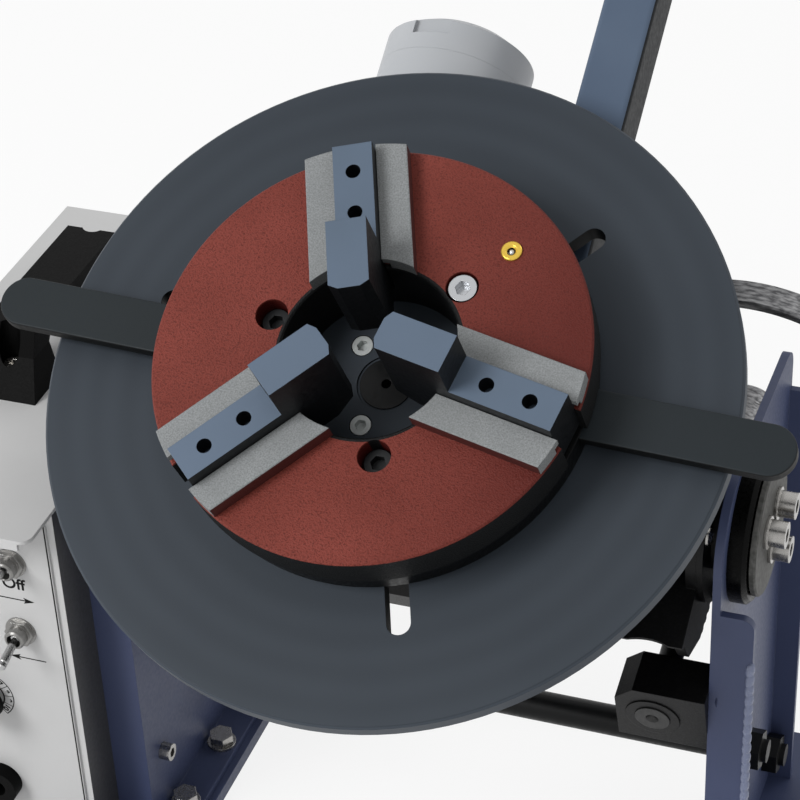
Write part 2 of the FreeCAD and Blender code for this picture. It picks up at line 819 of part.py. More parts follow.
def trunnionShaft():
    outer = cheekInner + cheekThick
    shape = turned([(0, innerWall - 16), (trunnionRadius - 1, innerWall - 16),
                    (trunnionRadius, innerWall - 15), (trunnionRadius, outer),
                    (trunnionFlange, outer), (trunnionFlange, outer + trunnionFlangeThick),
                    (journalRadius, outer + trunnionFlangeThick), (journalRadius, journalEnd),
                    (0, journalEnd)])
    holes = [cyl(2.5, outer - 1, outer + 10, x, y)
             for x, y in around(trunnionScrewRadius, 90 + trunnionScrewAngle, 4)]
    holes += [cyl(capScrewSize / 2, journalEnd - 14, journalEnd + 1, x, y)
              for x, y in around(capScrewRadius, 90 + capScrewAngle, 3)]
    return shape.cut(holes)


def onAxis(shape):
    """Set a shape drawn along Z on the tilt axis, to the right."""
    return towardX(shape, 0, 0, tiltHeight)


def trunnionScrews():
    outer = cheekInner + cheekThick + trunnionFlangeThick
    return Part.makeCompound([buttonScrew(5.0, trunnionFlangeThick + cheekThick, outer, x, y)
                              for x, y in around(trunnionScrewRadius,
                                                 90 + trunnionScrewAngle, 4)])


def trunnionCap():
    holes = [cyl(capScrewSize / 2 + screwGap, journalEnd - 1, journalEnd + capThick + 1, x, y)
             for x, y in around(capScrewRadius, 90 + capScrewAngle, 3)]
    cap = turned([(0, journalEnd), (capRadius, journalEnd),
                  (capRadius, journalEnd + capThick - 0.8),
                  (capRadius - 0.8, journalEnd + capThick), (0, journalEnd + capThick)])
    return cap.cut(holes)


def capScrews():
    seat = journalEnd + capThick
    radius, thick = capWasher
    shapes = []
    for x, y in around(capScrewRadius, 90 + capScrewAngle, 3):
        washer = ring(radius, capScrewSize / 2, seat, seat + thick, x, y)
        shapes.append(washer.fuse(capScrew(capScrewSize, 12.0 + thick, seat + thick, x, y)))
    return Part.makeCompound(shapes)


def capScrewsLow():
    seat = journalEnd + capThick
    return Part.makeCompound([buttonScrew(capScrewSize, 12.0, seat, x, y, capScrewLowHead)
                              for x, y in around(capScrewRadius, 90 + capScrewAngle, 3)])


def housing():
    outer = webInner + sheet
    bore = journalRadius + bushWall
    body = turned([(bore, outer), (housingRadius, outer),
                   (housingRadius, housingEnd - housingChamfer),
                   (housingRadius - housingChamfer, housingEnd), (bore, housingEnd)])
    return body.cut([cyl(2.5, outer - 1, outer + 5, x, y)
                     for x, y in around(housingScrewRadius, 0, 4)])


def housingScrews():
    screws = [spin(flatScrew(5.0, sheet + 5.0), 180, Vector(1, 0, 0)) for _ in range(4)]
    places = around(housingScrewRadius, 0, 4)
    return Part.makeCompound([moved(s, x, y, webInner) for s, (x, y) in zip(screws, places)])


def bush():
    return ring(journalRadius + bushWall, journalRadius + shaftGap, webInner, housingEnd)


# Tilt worm and sector

def tiltSector():
    """Toothed sector on the right trunnion, drawn about Z and turned to X."""
    worldMesh = wormRise - 90
    step = 360.0 / tiltTeeth
    gap = worldMesh - restTilt
    first = gap + step / 2 - step * round((gap - sectorFirst) / step)
    count = int((sectorLast - first) / step) + 1
    root, teeth = wheelTeethSet(tiltModule, tiltTeeth, tiltWormRadius, sectorWidth, first,
                                count)
    last = first + step * (count - 1)
    reach = root * 1.6
    middle = (first + last) / 2
    wedge = prism([(0, 0), polar(reach, first - step / 2), polar(reach, middle - 25),
                   polar(reach, middle + 25), polar(reach, last + step / 2)],
                  -sectorWidth, sectorWidth)
    rim = ring(root, root - sectorRim, -sectorWidth / 2, sectorWidth / 2)
    web = ring(root - 1, trunnionRadius, -sectorWeb / 2, sectorWeb / 2)
    plate = rim.fuse(web).common(wedge)
    hubHalf = (cheekInner - innerWall) / 2
    centre = innerWall + hubHalf - wormX
    hub = ring(sectorHub, trunnionRadius, centre - hubHalf, centre + hubHalf)
    holes = [cyl(7.0, -sectorWidth, sectorWidth, *polar(36.0, middle + a))
             for a in (-32, 0, 32)]
    plate = plate.cut(holes).multiFuse(teeth + [hub])
    plate = plate.cut(cyl(trunnionRadius, -60, 60))
    cyclic = Placement(Vector(wormX, 0, axisDepth),
                       Rotation(Vector(0, 1, 0), Vector(0, 0, 1), Vector(1, 0, 0)))
    return placed(plate, cyclic)


def wormShaft():
    thread = wormThread(tiltModule, tiltWormRadius, tiltWormTurns, -90)
    ends = blockRear + blockDepth
    hub = wheelPlace + wheelHubBack
    front = blockFront - 1.2
    waist = shaftRadius - 2.6
    shape = thread.fuse([cyl(shaftRadius, front, blockFront + blockDepth + 5),
                         cyl(waist, blockFront + blockDepth, blockRear),
                         cyl(shaftRadius, blockRear - 6, hub)])
    collar = ring(wormBush - 1, waist, blockRear - 6, blockRear - bushFace - slideGap)
    frontCollar = ring(wormBush - 1, waist, blockFront + blockDepth + slideGap,
                       blockFront + blockDepth + 5)
    outer = ring(wormBush - 1, shaftRadius - 1, ends + slideGap, ends + 6)
    shape = shape.fuse([collar, frontCollar, outer])
    centre = turned([(0, front - 1), (3.2, front - 1), (3.2, front), (1.2, front + 3),
                     (1.2, front + 6), (0, front + 6)])
    return moved(shape.cut(centre), wormX, 0, 0)


def wormBlock(low):
    high = low + blockDepth
    c = blockChamfer
    outline = [(blockLeft, blockHalf), (webInner, blockHalf), (webInner, -blockHalf),
               (blockLeft + c, -blockHalf), (blockLeft, c - blockHalf)]
    block = prism(outline, low, high).cut(cyl(wormBush, low - 1, high + 1, wormX))
    middle = (low + high) / 2
    return block.cut([alongX(3.0, webInner - 12, webInner + 1, y, middle)
                      for y in (-blockScrewOffset, blockScrewOffset)])


def wormBushes():
    rings = []
    for low in (blockFront, blockRear):
        rings.append(ring(wormBush, shaftRadius + shaftGap, low - bushFace, low + blockDepth,
                          wormX))
    return Part.makeCompound(rings)


def wormBlockScrews():
    screws = []
    for low in (blockFront, blockRear):
        for y in (-blockScrewOffset, blockScrewOffset):
            screw = spin(flatScrew(6.0, sheet + 10.0), 90, Vector(0, 1, 0))
            screws.append(moved(screw, webInner + sheet, y, low + blockDepth / 2))
    return Part.makeCompound(screws)


# Handwheel, shaft frame about its own axis

def handwheel():
    half = rimWidth / 2
    rim = turned([(wheelRadius - rimThick, -half + 1), (wheelRadius - rimThick + 1, -half),
                  (wheelRadius - 1, -half), (wheelRadius, -half + 1), (wheelRadius, half - 1),
                  (wheelRadius - 1, half), (wheelRadius - rimThick + 1, half),
                  (wheelRadius - rimThick, half - 1)])
    low = wheelHubFront
    high = wheelHubBack
    hub = turned([(shaftRadius, low), (wheelHub - 1, low), (wheelHub, low + 1),
                  (wheelHub, high - 2), (wheelHub - 2, high), (shaftRadius, high)])
    root = wheelHub - 3
    reach = wheelRadius - rimThick + 1.5
    thick = spokeThick / 2
    dish = (low + high) / 2
    spoke = face([(root, -spokeWidth / 2, dish - thick), (root + 8, -spokeWidth / 2, dish - thick),
                  (reach, -spokeWidth / 2, -thick), (reach, -spokeWidth / 2, thick),
                  (root + 8, -spokeWidth / 2, dish + thick + 1),
                  (root, -spokeWidth / 2, dish + thick + 1)])
    spoke = spoke.extrude(Vector(0, spokeWidth, 0))
    spokes = [spin(spoke, spokeAngle + 360.0 / spokeCount * k) for k in range(spokeCount)]
    x, y = polar(gripPlace, gripAngle)
    boss = cyl(gripPin + 6, -spokeThick / 2, half, x, y)
    wheel = rim.multiFuse([hub, boss] + spokes)
    wheel = wheel.cut([cyl(gripPin, -half - 1, half + 1, x, y),
                       cyl(shaftRadius, low - 1, high + 1)])
    return moved(wheel.removeSplitter(), wormX, 0, wheelPlace)


def gripBolt():
    x, y = polar(gripPlace, gripAngle)
    half = rimWidth / 2
    end = half + 1 + gripLength
    bolt = cyl(gripPin, -spokeThick / 2, end + 2).fuse(
        [cyl(gripPin + 3, end + 0.5, end + 3.5), cyl(gripPin + 2.5, half, half + 0.6)])
    return moved(bolt, wormX + x, y, wheelPlace)


def grip():
    x, y = polar(gripPlace, gripAngle)
    low = rimWidth / 2 + 1
    high = low + gripLength
    bore = gripPin + shaftGap
    shape = turned([(bore, low), (gripRadius - 3, low), (gripRadius - 1.5, low + 12),
                    (gripRadius, low + 36), (gripRadius - 1, high - 6),
                    (gripRadius - 4, high), (bore, high)])
    return moved(shape, wormX + x, y, wheelPlace)


# Frame

def upright():
    """Folded plate on the right; its twin is the mirror image."""
    outer = webInner + sheet
    foot = barThick
    web = slabX([(uprightFront, foot), (uprightBack, foot), (uprightBack, uprightTop),
                 (uprightFront, uprightTop)], webInner, outer)
    web = rounded(web, frontCorner, lambda c: abs(c.y - uprightFront) < 0.1
                  and abs(c.z - uprightTop) < 0.1)
    web = rounded(web, backCorner, lambda c: abs(c.y - uprightBack) < 0.1
                  and abs(c.z - uprightTop) < 0.1)
    front = box(outer - 1, webInner + frontFlange, uprightFront, uprightFront + sheet,
                foot, frontFlangeTop)
    front = rounded(front, flangeCorner, lambda c: abs(c.x - webInner - frontFlange) < 0.1
                    and abs(c.z - frontFlangeTop) < 0.1)
    back = box(outer - 1, webInner + backFlange, uprightBack - sheet, uprightBack,
               foot, backFlangeTop)
    back = rounded(back, flangeCorner, lambda c: abs(c.x - webInner - backFlange) < 0.1
                   and abs(c.z - backFlangeTop) < 0.1)
    sole = box(webInner - footWidth, webInner + 1, uprightFront, uprightBack, foot,
               foot + sheet)
    return web.multiFuse([front, back, sole]).removeSplitter()


def uprightHoles():
    """Holes that both uprights share, as solids to cut away."""
    x0 = webInner - 1
    x1 = webInner + sheet + 1
    holes = [alongX(journalRadius + bushWall, x0, x1, 0, tiltHeight)]
    holes += [alongX(tieThread, x0, x1, y, z) for y, z in tiePlaces]
    holes += [cyl(4.0 + screwGap, barThick - 1, barThick + sheet + 1, footScrewX, y)
              for y in footScrewsY]
    flat = [spin(Part.makeCone(2.5, 5.0, 2.5), 180, Vector(1, 0, 0)) for _ in range(4)]
    for cone, (x, y) in zip(flat, around(housingScrewRadius, 0, 4)):
        holes.append(onAxis(moved(cone, x, y, webInner + 2.5)))
        holes.append(onAxis(cyl(2.5, webInner + 2, webInner + sheet + 1, x, y)))
    return holes


def rightUpright():
    seats = []
    for low in (blockFront, blockRear):
        for y in (-blockScrewOffset, blockScrewOffset):
            seat = spin(flatSeat(6.0, sheet + 1), 90, Vector(0, 1, 0))
            seats.append(onShaft(moved(seat, webInner + sheet, y, low + blockDepth / 2)))
    return upright().cut(uprightHoles() + seats)


def leftUpright():
    plate = flipX(upright().cut(uprightHoles()))
    outer = webInner + sheet
    return plate.cut([alongX(3.0 + screwGap, -outer - 1, 1 - webInner, y, z)
                      for y, z in spacerPlaces])


def footBar():
    bar = box(barInner, barOuter, -barHalf, barHalf, 0, barThick)
    bar = rounded(bar, 4.0, lambda c: abs(abs(c.y) - barHalf) < 0.1
                  and abs(c.z - barThick / 2) < 0.1)
    holes = [cyl(benchHole, -1, barThick + 1, benchX, y) for y in (-benchY, benchY)]
    holes += [cyl(4.0, -1, barThick + 1, footScrewX, y) for y in footScrewsY]
    return bar.cut(holes)


def frameBolts():
    seat = barThick + sheet
    bolts = []
    for y in footScrewsY:
        bolts.append(cyl(8.0, seat, seat + 1.6, footScrewX, y).fuse(
            [moved(hexagon(7.0, seat + 1.6, seat + 7.0), footScrewX, y, 0),
             cyl(4.0, 1.0, seat, footScrewX, y)]))
    return pair(Part.makeCompound(bolts))


def tieRods():
    end = webInner + sheet + nutThick + 3
    rods = []
    for y, z in tiePlaces:
        rods.append(alongX(tieRadius, -webInner, webInner, y, z).fuse(
            alongX(tieThread, -end, end, y, z)))
    return Part.makeCompound(rods)


def tieNuts():
    outer = webInner + sheet
    nuts = []
    for y, z in tiePlaces:
        nut = hexagon(nutRadius, outer, outer + nutThick).cut(
            cyl(tieThread, outer - 1, outer + nutThick + 1))
        nuts.append(towardX(nut, 0, y, z))
    return pair(Part.makeCompound(nuts))


# Control box

def controlBox():
    s = boxSheet
    top = boxTop - lidThick
    body = box(boxLeft, boxRight, boxFront, boxBack, boxBottom, top)
    body = body.cut(box(boxLeft + s, boxRight - s, boxFront + s, boxBack - s,
                        boxBottom + s, top + 1))
    b = windowMargin
    window = box(boxLeft + b, boxRight - b, boxFront - 1, boxFront + s + 1,
                 boxBottom + b, top - lidSkirt - b)
    holes = [alongX(3.0 + screwGap, boxRight - s - 1, boxRight + 1, y, z)
             for y, z in spacerPlaces]
    holes += [alongY(panelScrewSize / 2, boxFront - 1, boxFront + s + 1, x, z)
              for x, z in panelScrewPlaces()]
    gland = alongY(8.0, boxBack - s - 1, boxBack + 1, glandX, glandZ)
    vents = [box(boxLeft - 1, boxLeft + s + 1, 30 + 14 * k, 36 + 14 * k, 40, 90)
             for k in range(7)]
    return body.cut([window, gland] + holes + vents)



def boxLid():
    top = boxTop
    low = top - lidThick
    x0 = boxLeft - lidThick
    plate = box(x0, boxRight, lidFront, boxBack + lidThick, low, top)
    plate = rounded(plate, lidCorner, lambda c: abs(c.y - lidFront) < 0.1
                    and abs(c.z - (low + top) / 2) < 0.1)
    skirt = box(x0, boxLeft - 0.2, boxFront, boxBack + lidThick, low - lidSkirt, low)
    back = box(x0, boxRight, boxBack + 0.2, boxBack + lidThick, low - lidSkirt, low)
    lip = box(x0 + lidCorner, boxRight - lidCorner, lidFront, lidFront + boxSheet,
              low - 4.0, low)
    lid = plate.fuse([skirt, back, lip])
    return lid.cut([cyl(3.0, low - 1, top + 1, handleX, y) for y in handleScrewsY])


def controlPanel():
    """Front plate on the box, inside the painted border."""
    b = panelBorder
    front = boxFront - panelThick
    top = boxTop - lidThick - 1.0
    plate = box(boxLeft + b, boxRight - b, front, boxFront, boxBottom + b, top - b)
    plate = rounded(plate, 3.0, lambda c: abs(c.y - (front + boxFront) / 2) < 0.1
                    and abs(abs(c.x - (boxLeft + boxRight) / 2)
                            - (boxRight - boxLeft) / 2 + b) < 0.1)
    holes = [alongY(switchBush + 0.1, front - 1, boxFront + 1, x, z) for x, z in toggles]
    holes.append(alongY(4.0, front - 1, boxFront + 1, dialX, dialZ))
    holes.append(alongY(7.5, front - 1, boxFront + 1, dialX, socketZ))
    holes.append(alongY(6.0, front - 1, boxFront + 1, fuseX, socketZ))
    holes += [alongY(panelScrewSize / 2, front - 1, boxFront + 1, x, z)
              for x, z in panelScrewPlaces()]
    return plate.cut(holes)



def boxSpacers():
    outer = webInner + sheet
    shapes = [alongX(spacerRadius, boxRight, -outer, y, z).cut(
        alongX(3.0 + screwGap, boxRight - 1, 1 - outer, y, z)) for y, z in spacerPlaces]
    return Part.makeCompound(shapes)


def boxScrews():
    """Screws from inside the web, through the spacers, into nuts in the box."""
    shapes = []
    for y, z in spacerPlaces:
        screw = capScrew(6.0, -boxRight - webInner + 9.0)
        shapes.append(towardX(screw, -webInner, y, z))
    return Part.makeCompound(shapes)


def boxNuts():
    low = -boxRight + boxSheet
    shapes = []
    for y, z in spacerPlaces:
        nut = hexagon(5.8, low, low + 5.0).cut(cyl(3.0, low - 1, low + 6))
        shapes.append(flipX(towardX(nut, 0, y, z)))
    return Part.makeCompound(shapes)


def carryHandle():
    low = boxTop
    high = low + handleHeight
    half = handleBridge / 2
    bridge = slabX([(handleY0 + 12, low + 20), (handleY0 + 18, high), (handleY1 - 18, high),
                    (handleY1 - 12, low + 20), (handleY1 - 30, low + 20),
                    (handleY1 - 36, high - 9), (handleY0 + 36, high - 9),
                    (handleY0 + 30, low + 20)], handleX - half, handleX + half)
    foot = handleFoot / 2
    feet = []
    for y0, y1 in ((handleY0, handleY0 + 30), (handleY1 - 30, handleY1)):
        feet.append(loftBlock((handleX - foot, handleX + foot, y0, y1, low),
                              (handleX - half, handleX + half,
                               max(y0, handleY0 + 12), min(y1, handleY1 - 12), low + 20)))
    body = bridge.multiFuse(feet)
    hollow = box(handleX - half + 5, handleX + half - 5, handleY0 + 36, handleY1 - 36,
                 high - 9 - 1, high - 5)
    cuts = [cyl(3.0, low - 1, high, handleX, y) for y in handleScrewsY]
    cuts += [cyl(6.0, low + 8, high + 1, handleX, y) for y in handleScrewsY]
    return body.cut([hollow] + cuts)


def loftBlock(lower, upper):
    wires = []
    for x0, x1, y0, y1, z in (lower, upper):
        wires.append(Part.makePolygon([Vector(x0, y0, z), Vector(x1, y0, z), Vector(x1, y1, z),
                                       Vector(x0, y1, z), Vector(x0, y0, z)]))
    return Part.makeLoft(wires, True, True)


def handleScrews():
    return Part.makeCompound([capScrew(6.0, 16.0, boxTop + 8, handleX, y)
                              for y in handleScrewsY])


def fittings():
    """Pieces behind and on the panel, each drawn along Z and turned to the back."""
    front = boxFront - panelThick
    parts = {}
    bodies = []
    nuts = []
    for x, z in toggles:
        bush = turned([(switchBore, 4.0), (switchBush, 4.0), (switchBush, 1 - switchBushOut),
                       (switchBush - 0.8, -switchBushOut), (switchBore, -switchBushOut)])
        body = box(-7, 7, -13, 13, 4.0, 26.0).fuse(bush)
        bodies.append(towardBack(body, x, front, z))
        reach, thick = switchWasher
        nut = ring(reach, switchBush, -thick, 0.0).fuse(
            hexagon(switchNut, -thick - 2.4, -thick).cut(cyl(switchBush, -5, 1)))
        nuts.append(towardBack(nut, x, front, z))
    parts["switch_bodies"] = Part.makeCompound(bodies + nuts)
    pot = ring(3.9, 3.05, -3.0, 4.0).fuse(ring(12.0, 3.05, 4.0, 16.0)).fuse(
        cyl(12.0, 14.0, 17.0))
    parts["speed_pot"] = towardBack(pot, dialX, front, dialZ)
    socket = ring(11.0, 5.0, -8.0, 0.0).fuse(ring(7.4, 5.0, 0.0, 14.0)).fuse(
        cyl(7.4, 10.0, 16.0))
    parts["pedal_socket"] = towardBack(socket, dialX, front, socketZ)
    fuse = cyl(8.0, -9.0, 0.0).fuse(cyl(5.9, 0.0, 34.0))
    fuse = fuse.cut(box(-1, 1, -6, 6, -10, -7.5))
    parts["fuse_holder"] = towardBack(fuse, fuseX, front, socketZ)
    gland = ring(8.0, 4.0, -boxSheet - 4, 0.0).fuse(
        [hexagon(11.0, 0.0, 6.0).cut(cyl(4.0, -1, 7)), ring(9.0, 4.0, 6.0, 18.0),
         hexagon(11.0, -boxSheet - 7, -boxSheet).cut(cyl(4.0, -12, 1))])
    parts["cable_gland"] = towardBack(gland, glandX, boxBack, glandZ)
    return parts


def toggle(index):
    """Bat lever standing out of its bushing, tipped up or down."""
    x, z = toggles[index]
    tip = turned([(0, 3.4), (1.6, 3.4), (1.7, -4.5), (2.1, -6.0), (2.3, 3.9 - batReach),
                  (1.9, 3.4 - batReach), (2.3, 2.9 - batReach), (2.3, 1 - batReach),
                  (1.6, 0.2 - batReach), (0, -batReach)])
    pivot = alongX(2.4, -2.2, 2.2, 0, 0)
    bat = spin(tip.fuse(pivot), toggleTilts[index], Vector(1, 0, 0))
    return towardBack(bat, x, boxFront - panelThick - switchPivot, z)


def speedKnob():
    knob = turned([(3.0, -4.0), (9.5, -4.0), (11.0, -5.0), (9.0, -18.0), (8.0, -19.0),
                   (0, -19.0), (0, -15.0), (3.0, -15.0)])
    shaft = cyl(3.0, -15.0, 13.5)
    mark = box(-0.6, 0.6, 3.0, 12.0, -20.0, -18.4)
    return towardBack(knob.fuse(shaft).cut(mark), dialX, boxFront - panelThick, dialZ)


def transformer():
    x0 = boxLeft + 22
    y0 = 60.0
    z0 = boxBottom + boxSheet
    core = box(x0, x0 + 66, y0, y0 + 22, z0, z0 + 56)
    coil = box(x0 + 12, x0 + 54, y0 - 12, y0 + 34, z0 + 12, z0 + 44)
    coil = rounded(coil, 6.0, lambda c: abs(c.z - z0 - 28) < 0.1)
    feet = box(x0 - 8, x0 + 74, y0, y0 + 22, z0, z0 + 2)
    return core.fuse([coil, feet]).removeSplitter()


def driveBoard():
    """Speed controller on four posts, with a heat sink and terminals."""
    x = boxRight - boxSheet - 20
    y = 0.0
    z = 82.0
    board = box(x - 1.6, x, y, y + 140, z, z + 110)
    posts = [alongX(3.0, x, boxRight - boxSheet, y + a, z + b)
             for a in (6, 134) for b in (6, 104)]
    sink = box(x - 5, x - 1.6, y + 10, y + 70, z + 24, z + 70)
    fins = [box(x - 20, x - 4.9, y + 10 + 9.6 * k, y + 12 + 9.6 * k, z + 24, z + 70)
            for k in range(7)]
    terminals = [box(x - 13, x - 1.6, y + 82 + 9 * k, y + 90 + 9 * k, z + 4, z + 18)
                 for k in range(5)]
    return board.multiFuse(posts + [sink] + fins + terminals).removeSplitter()


def panelScrewPlaces():
    b = panelScrewInset           # the top edge is held under the lid's skirt
    return [(x, boxBottom + b) for x in (boxLeft + b, boxRight - b)]


def panelScrews():
    return Part.makeCompound([towardFront(buttonScrew(panelScrewSize, 6.0), x,
                                          boxFront - panelThick, z)
                              for x, z in panelScrewPlaces()])


def build():
    os.makedirs("parts", exist_ok=True)
    shapes = {
        "foot_bars": pair(footBar()),
        "upright_left": leftUpright(),
        "upright_right": rightUpright(),
        "frame_bolts": frameBolts(),
        "tie_rods": Part.makeCompound([tieRods(), tieNuts()]),
        "trunnion_housings": pair(onAxis(housing())),
        "trunnion_bushes": pair(onAxis(bush())),
        "housing_screws": pair(onAxis(housingScrews())),
        "worm_blocks": onShaft(Part.makeCompound([wormBlock(blockFront),
                                                  wormBlock(blockRear)])),
        "worm_bushes": onShaft(wormBushes()),
        "worm_block_screws": onShaft(wormBlockScrews()),
        "control_box": controlBox(),
        "box_lid": boxLid(),
        "control_panel": controlPanel(),
        "box_fasteners": Part.makeCompound([panelScrews(), handleScrews()]),
        "box_spacers": boxSpacers(),
        "box_screws": Part.makeCompound([boxScrews(), boxNuts()]),
        "carry_handle": carryHandle(),
        "transformer": transformer(),
        "drive_board": driveBoard(),
        "power_toggle": toggle(0),
        "direction_toggle": toggle(1),
        "speed_knob": speedKnob(),
        "tilt_worm": onShaft(wormShaft()),
        "handwheel": onShaft(handwheel()),
        "grip_bolt": onShaft(gripBolt()),
        "handwheel_grip": onShaft(grip()),
        "tilt_casting": onTable(tiltCasting()),
        "gearbox_cover": onTable(gearboxCover()),
        "gearbox_screws": onTable(gearboxScrews()),
        "trunnion_shafts": pair(onAxis(trunnionShaft())),
        "trunnion_caps": pair(onAxis(trunnionCap())),
        "trunnion_screws": Part.makeCompound([pair(onAxis(trunnionScrews())),
                                              onAxis(capScrews()),
                                              flipX(onAxis(capScrewsLow()))]),
        "tilt_sector": onTable(tiltSector()),
        "gearbox_bearings": onTable(Part.makeCompound([spindleBearings(), driveBushes()])),
        "drive_motor": onTable(motor()),
        "motor_cap": onTable(motorCap()),
        "torch_arm": onTable(torchArm()),
        "torch_arm_screws": onTable(torchArmScrews()),
        "torch_arm_plugs": onTable(torchArmPlug()),
        "drive_worm": onTable(driveWorm()),
        "spindle": onTable(spindle()),
        "spindle_wheel": onTable(spindleWheel()),
        "turntable": onTable(turntable()),
        "table_screws": onTable(tableScrews()),
        "chuck_body": onTable(chuckBody()),
        "jaw_ways": onTable(jawWays()),
        "chuck_screws": onTable(chuckScrews()),
        "oiler": onTable(oiler()),
        "scroll_ring": onTable(scrollRing()),
        "lever_bars": onTable(leverBars()),
    }
    shapes.update(fittings())
    for number, angle in enumerate(jaws, 1):
        shapes[f"jaw_{number}"] = onTable(jaw(angle))
    for name, shape in shapes.items():
        if not shape.isValid() or not shape.Solids:
            print("check", name, shape.isValid(), len(shape.Solids))
        shape.exportStep(f"parts/{name}.step")
    print(len(shapes), "parts")


build()
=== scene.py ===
import json
import math

import bmesh
import bpy
from mathutils import Matrix, Vector


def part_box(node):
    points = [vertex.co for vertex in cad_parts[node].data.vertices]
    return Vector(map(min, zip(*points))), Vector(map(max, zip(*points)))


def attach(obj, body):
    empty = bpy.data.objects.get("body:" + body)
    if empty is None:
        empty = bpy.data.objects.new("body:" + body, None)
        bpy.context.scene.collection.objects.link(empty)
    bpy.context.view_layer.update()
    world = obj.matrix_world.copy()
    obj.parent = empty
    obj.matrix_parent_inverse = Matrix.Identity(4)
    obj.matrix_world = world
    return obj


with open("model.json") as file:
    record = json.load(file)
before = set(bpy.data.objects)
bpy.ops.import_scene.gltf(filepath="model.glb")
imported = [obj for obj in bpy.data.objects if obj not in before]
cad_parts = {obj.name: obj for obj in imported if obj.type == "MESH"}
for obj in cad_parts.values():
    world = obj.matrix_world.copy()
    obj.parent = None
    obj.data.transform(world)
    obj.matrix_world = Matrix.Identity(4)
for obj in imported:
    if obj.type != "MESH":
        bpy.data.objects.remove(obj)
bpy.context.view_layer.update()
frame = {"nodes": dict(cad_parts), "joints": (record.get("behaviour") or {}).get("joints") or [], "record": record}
print("frame loaded:", len(frame["nodes"]), "nodes")

mm = 0.001
nodes = frame["nodes"]
joints = {joint["name"]: joint for joint in frame["joints"]}

# The table's own axes: x to the right, y up the table, z out of its face
spindleAxis = Vector(joints["table_turn"]["axis"])
tableCentre = Vector(joints["table_turn"]["pos_m"])
tableTilt = -math.atan2(spindleAxis.y, spindleAxis.z)
tableTurn = Matrix.Rotation(tableTilt, 4, "X")
tableFrame = Matrix.Translation(tableCentre) @ tableTurn
tableUp = spindleAxis.cross(Vector((1, 0, 0)))


# Colour and node helpers

def hexColour(text):
    channels = [int(text[k:k + 2], 16) / 255 for k in (1, 3, 5)]
    return [c / 12.92 if c <= 0.04045 else ((c + 0.055) / 1.055) ** 2.4 for c in channels] + [1]


def addNode(tree, kind, values=None, links=None):
    node = tree.nodes.new("ShaderNode" + kind)
    for key, value in (values or {}).items():
        if isinstance(key, str) and hasattr(node, key):
            setattr(node, key, value)
        else:
            node.inputs[key].default_value = value
    for key, socket in (links or {}).items():
        tree.links.new(socket, node.inputs[key])
    return node


def startMaterial(name, colour, roughness, metallic=0.0, specular=0.5):
    material = bpy.data.materials.new(name)
    material.use_nodes = True
    tree = material.node_tree
    shader = tree.nodes["Principled BSDF"]
    shader.inputs["Base Color"].default_value = hexColour(colour)
    shader.inputs["Roughness"].default_value = roughness
    shader.inputs["Metallic"].default_value = metallic
    shader.inputs["Specular IOR Level"].default_value = specular
    place = addNode(tree, "TexCoord").outputs["Object"]
    return material, tree, shader, place


def tablePlace(tree, place):
    return addNode(tree, "Mapping", {"vector_type": "TEXTURE", "Location": tableCentre,
                                     "Rotation": (tableTilt, 0, 0)},
                   {"Vector": place}).outputs["Vector"]


def mixColours(tree, factor, first, second):
    node = addNode(tree, "Mix", {"data_type": "RGBA"})
    tree.links.new(factor, node.inputs["Factor"])
    for socket, colour in ((node.inputs[6], first), (node.inputs[7], second)):
        if isinstance(colour, str):
            socket.default_value = hexColour(colour)
        else:
            tree.links.new(colour, socket)
    return node.outputs[2]


def spread(tree, value, low, high, start=0.3, end=0.7):
    return addNode(tree, "MapRange", {"From Min": start, "From Max": end, "To Min": low,
                                      "To Max": high}, {"Value": value}).outputs["Result"]


def reckon(tree, operation, first, second):
    node = addNode(tree, "Math", {"operation": operation})
    for key, value in ((0, first), (1, second)):
        if isinstance(value, (int, float)):
            node.inputs[key].default_value = value
        else:
            tree.links.new(value, node.inputs[key])
    return node.outputs["Value"]


def parts(tree, vector):
    node = addNode(tree, "SeparateXYZ", {}, {"Vector": vector})
    return node.outputs["X"], node.outputs["Y"], node.outputs["Z"]


def faceTowards(tree, direction):
    # How squarely a face looks along a direction, from the piece's own normals
    normal = addNode(tree, "TexCoord").outputs["Normal"]
    return addNode(tree, "VectorMath", {"operation": "DOT_PRODUCT", 1: direction},
                   {0: normal}).outputs["Value"]


def fromSpindle(tree, place):
    # Distance from the spindle axis and height over the table face, in metres
    x, y, z = parts(tree, tablePlace(tree, place))
    flat = addNode(tree, "CombineXYZ", {}, {"X": x, "Y": y}).outputs["Vector"]
    return addNode(tree, "VectorMath", {"operation": "LENGTH"}, {0: flat}).outputs["Value"], z


def noise(tree, place, size, detail=3.0, stretch=None):
    # Cells are about size millimetres across
    if stretch:
        place = addNode(tree, "Mapping", {"Scale": stretch}, {"Vector": place}).outputs["Vector"]
    return addNode(tree, "TexNoise", {"Scale": 1 / (size * mm), "Detail": detail},
                   {"Vector": place}).outputs["Fac"]


def bump(tree, shader, height, depth, edge=0.5):
    # Depth and the softened edge are in millimetres
    soft = addNode(tree, "Bevel", {"samples": 4, "Radius": edge * mm}).outputs["Normal"]
    node = addNode(tree, "Bump", {"Strength": 1.0, "Distance": depth * mm},
                   {"Height": height, "Normal": soft})
    tree.links.new(node.outputs["Normal"], shader.inputs["Normal"])


# Where the finishes of the turning parts change: distances from the spindle, heights over
# the table face and places across it, in metres
finishEdges = {
    "paintInner": 0.0425,
    "paintBottom": 0.0328,
    "screwHolesOuter": 0.062,
    "shadeRightFrom": 0.015,
    "shadeRightTo": 0.085,
    "tableRimHighlight": 0.1592,
    "slotsOuter": 0.15,
    "brightScrewX": 0.02,
    "oilerWell": 0.002,
    "oilerBall": 0.0015,
}

# How squarely a face must look along an axis to count as facing it
squareOn = 0.7


# Materials

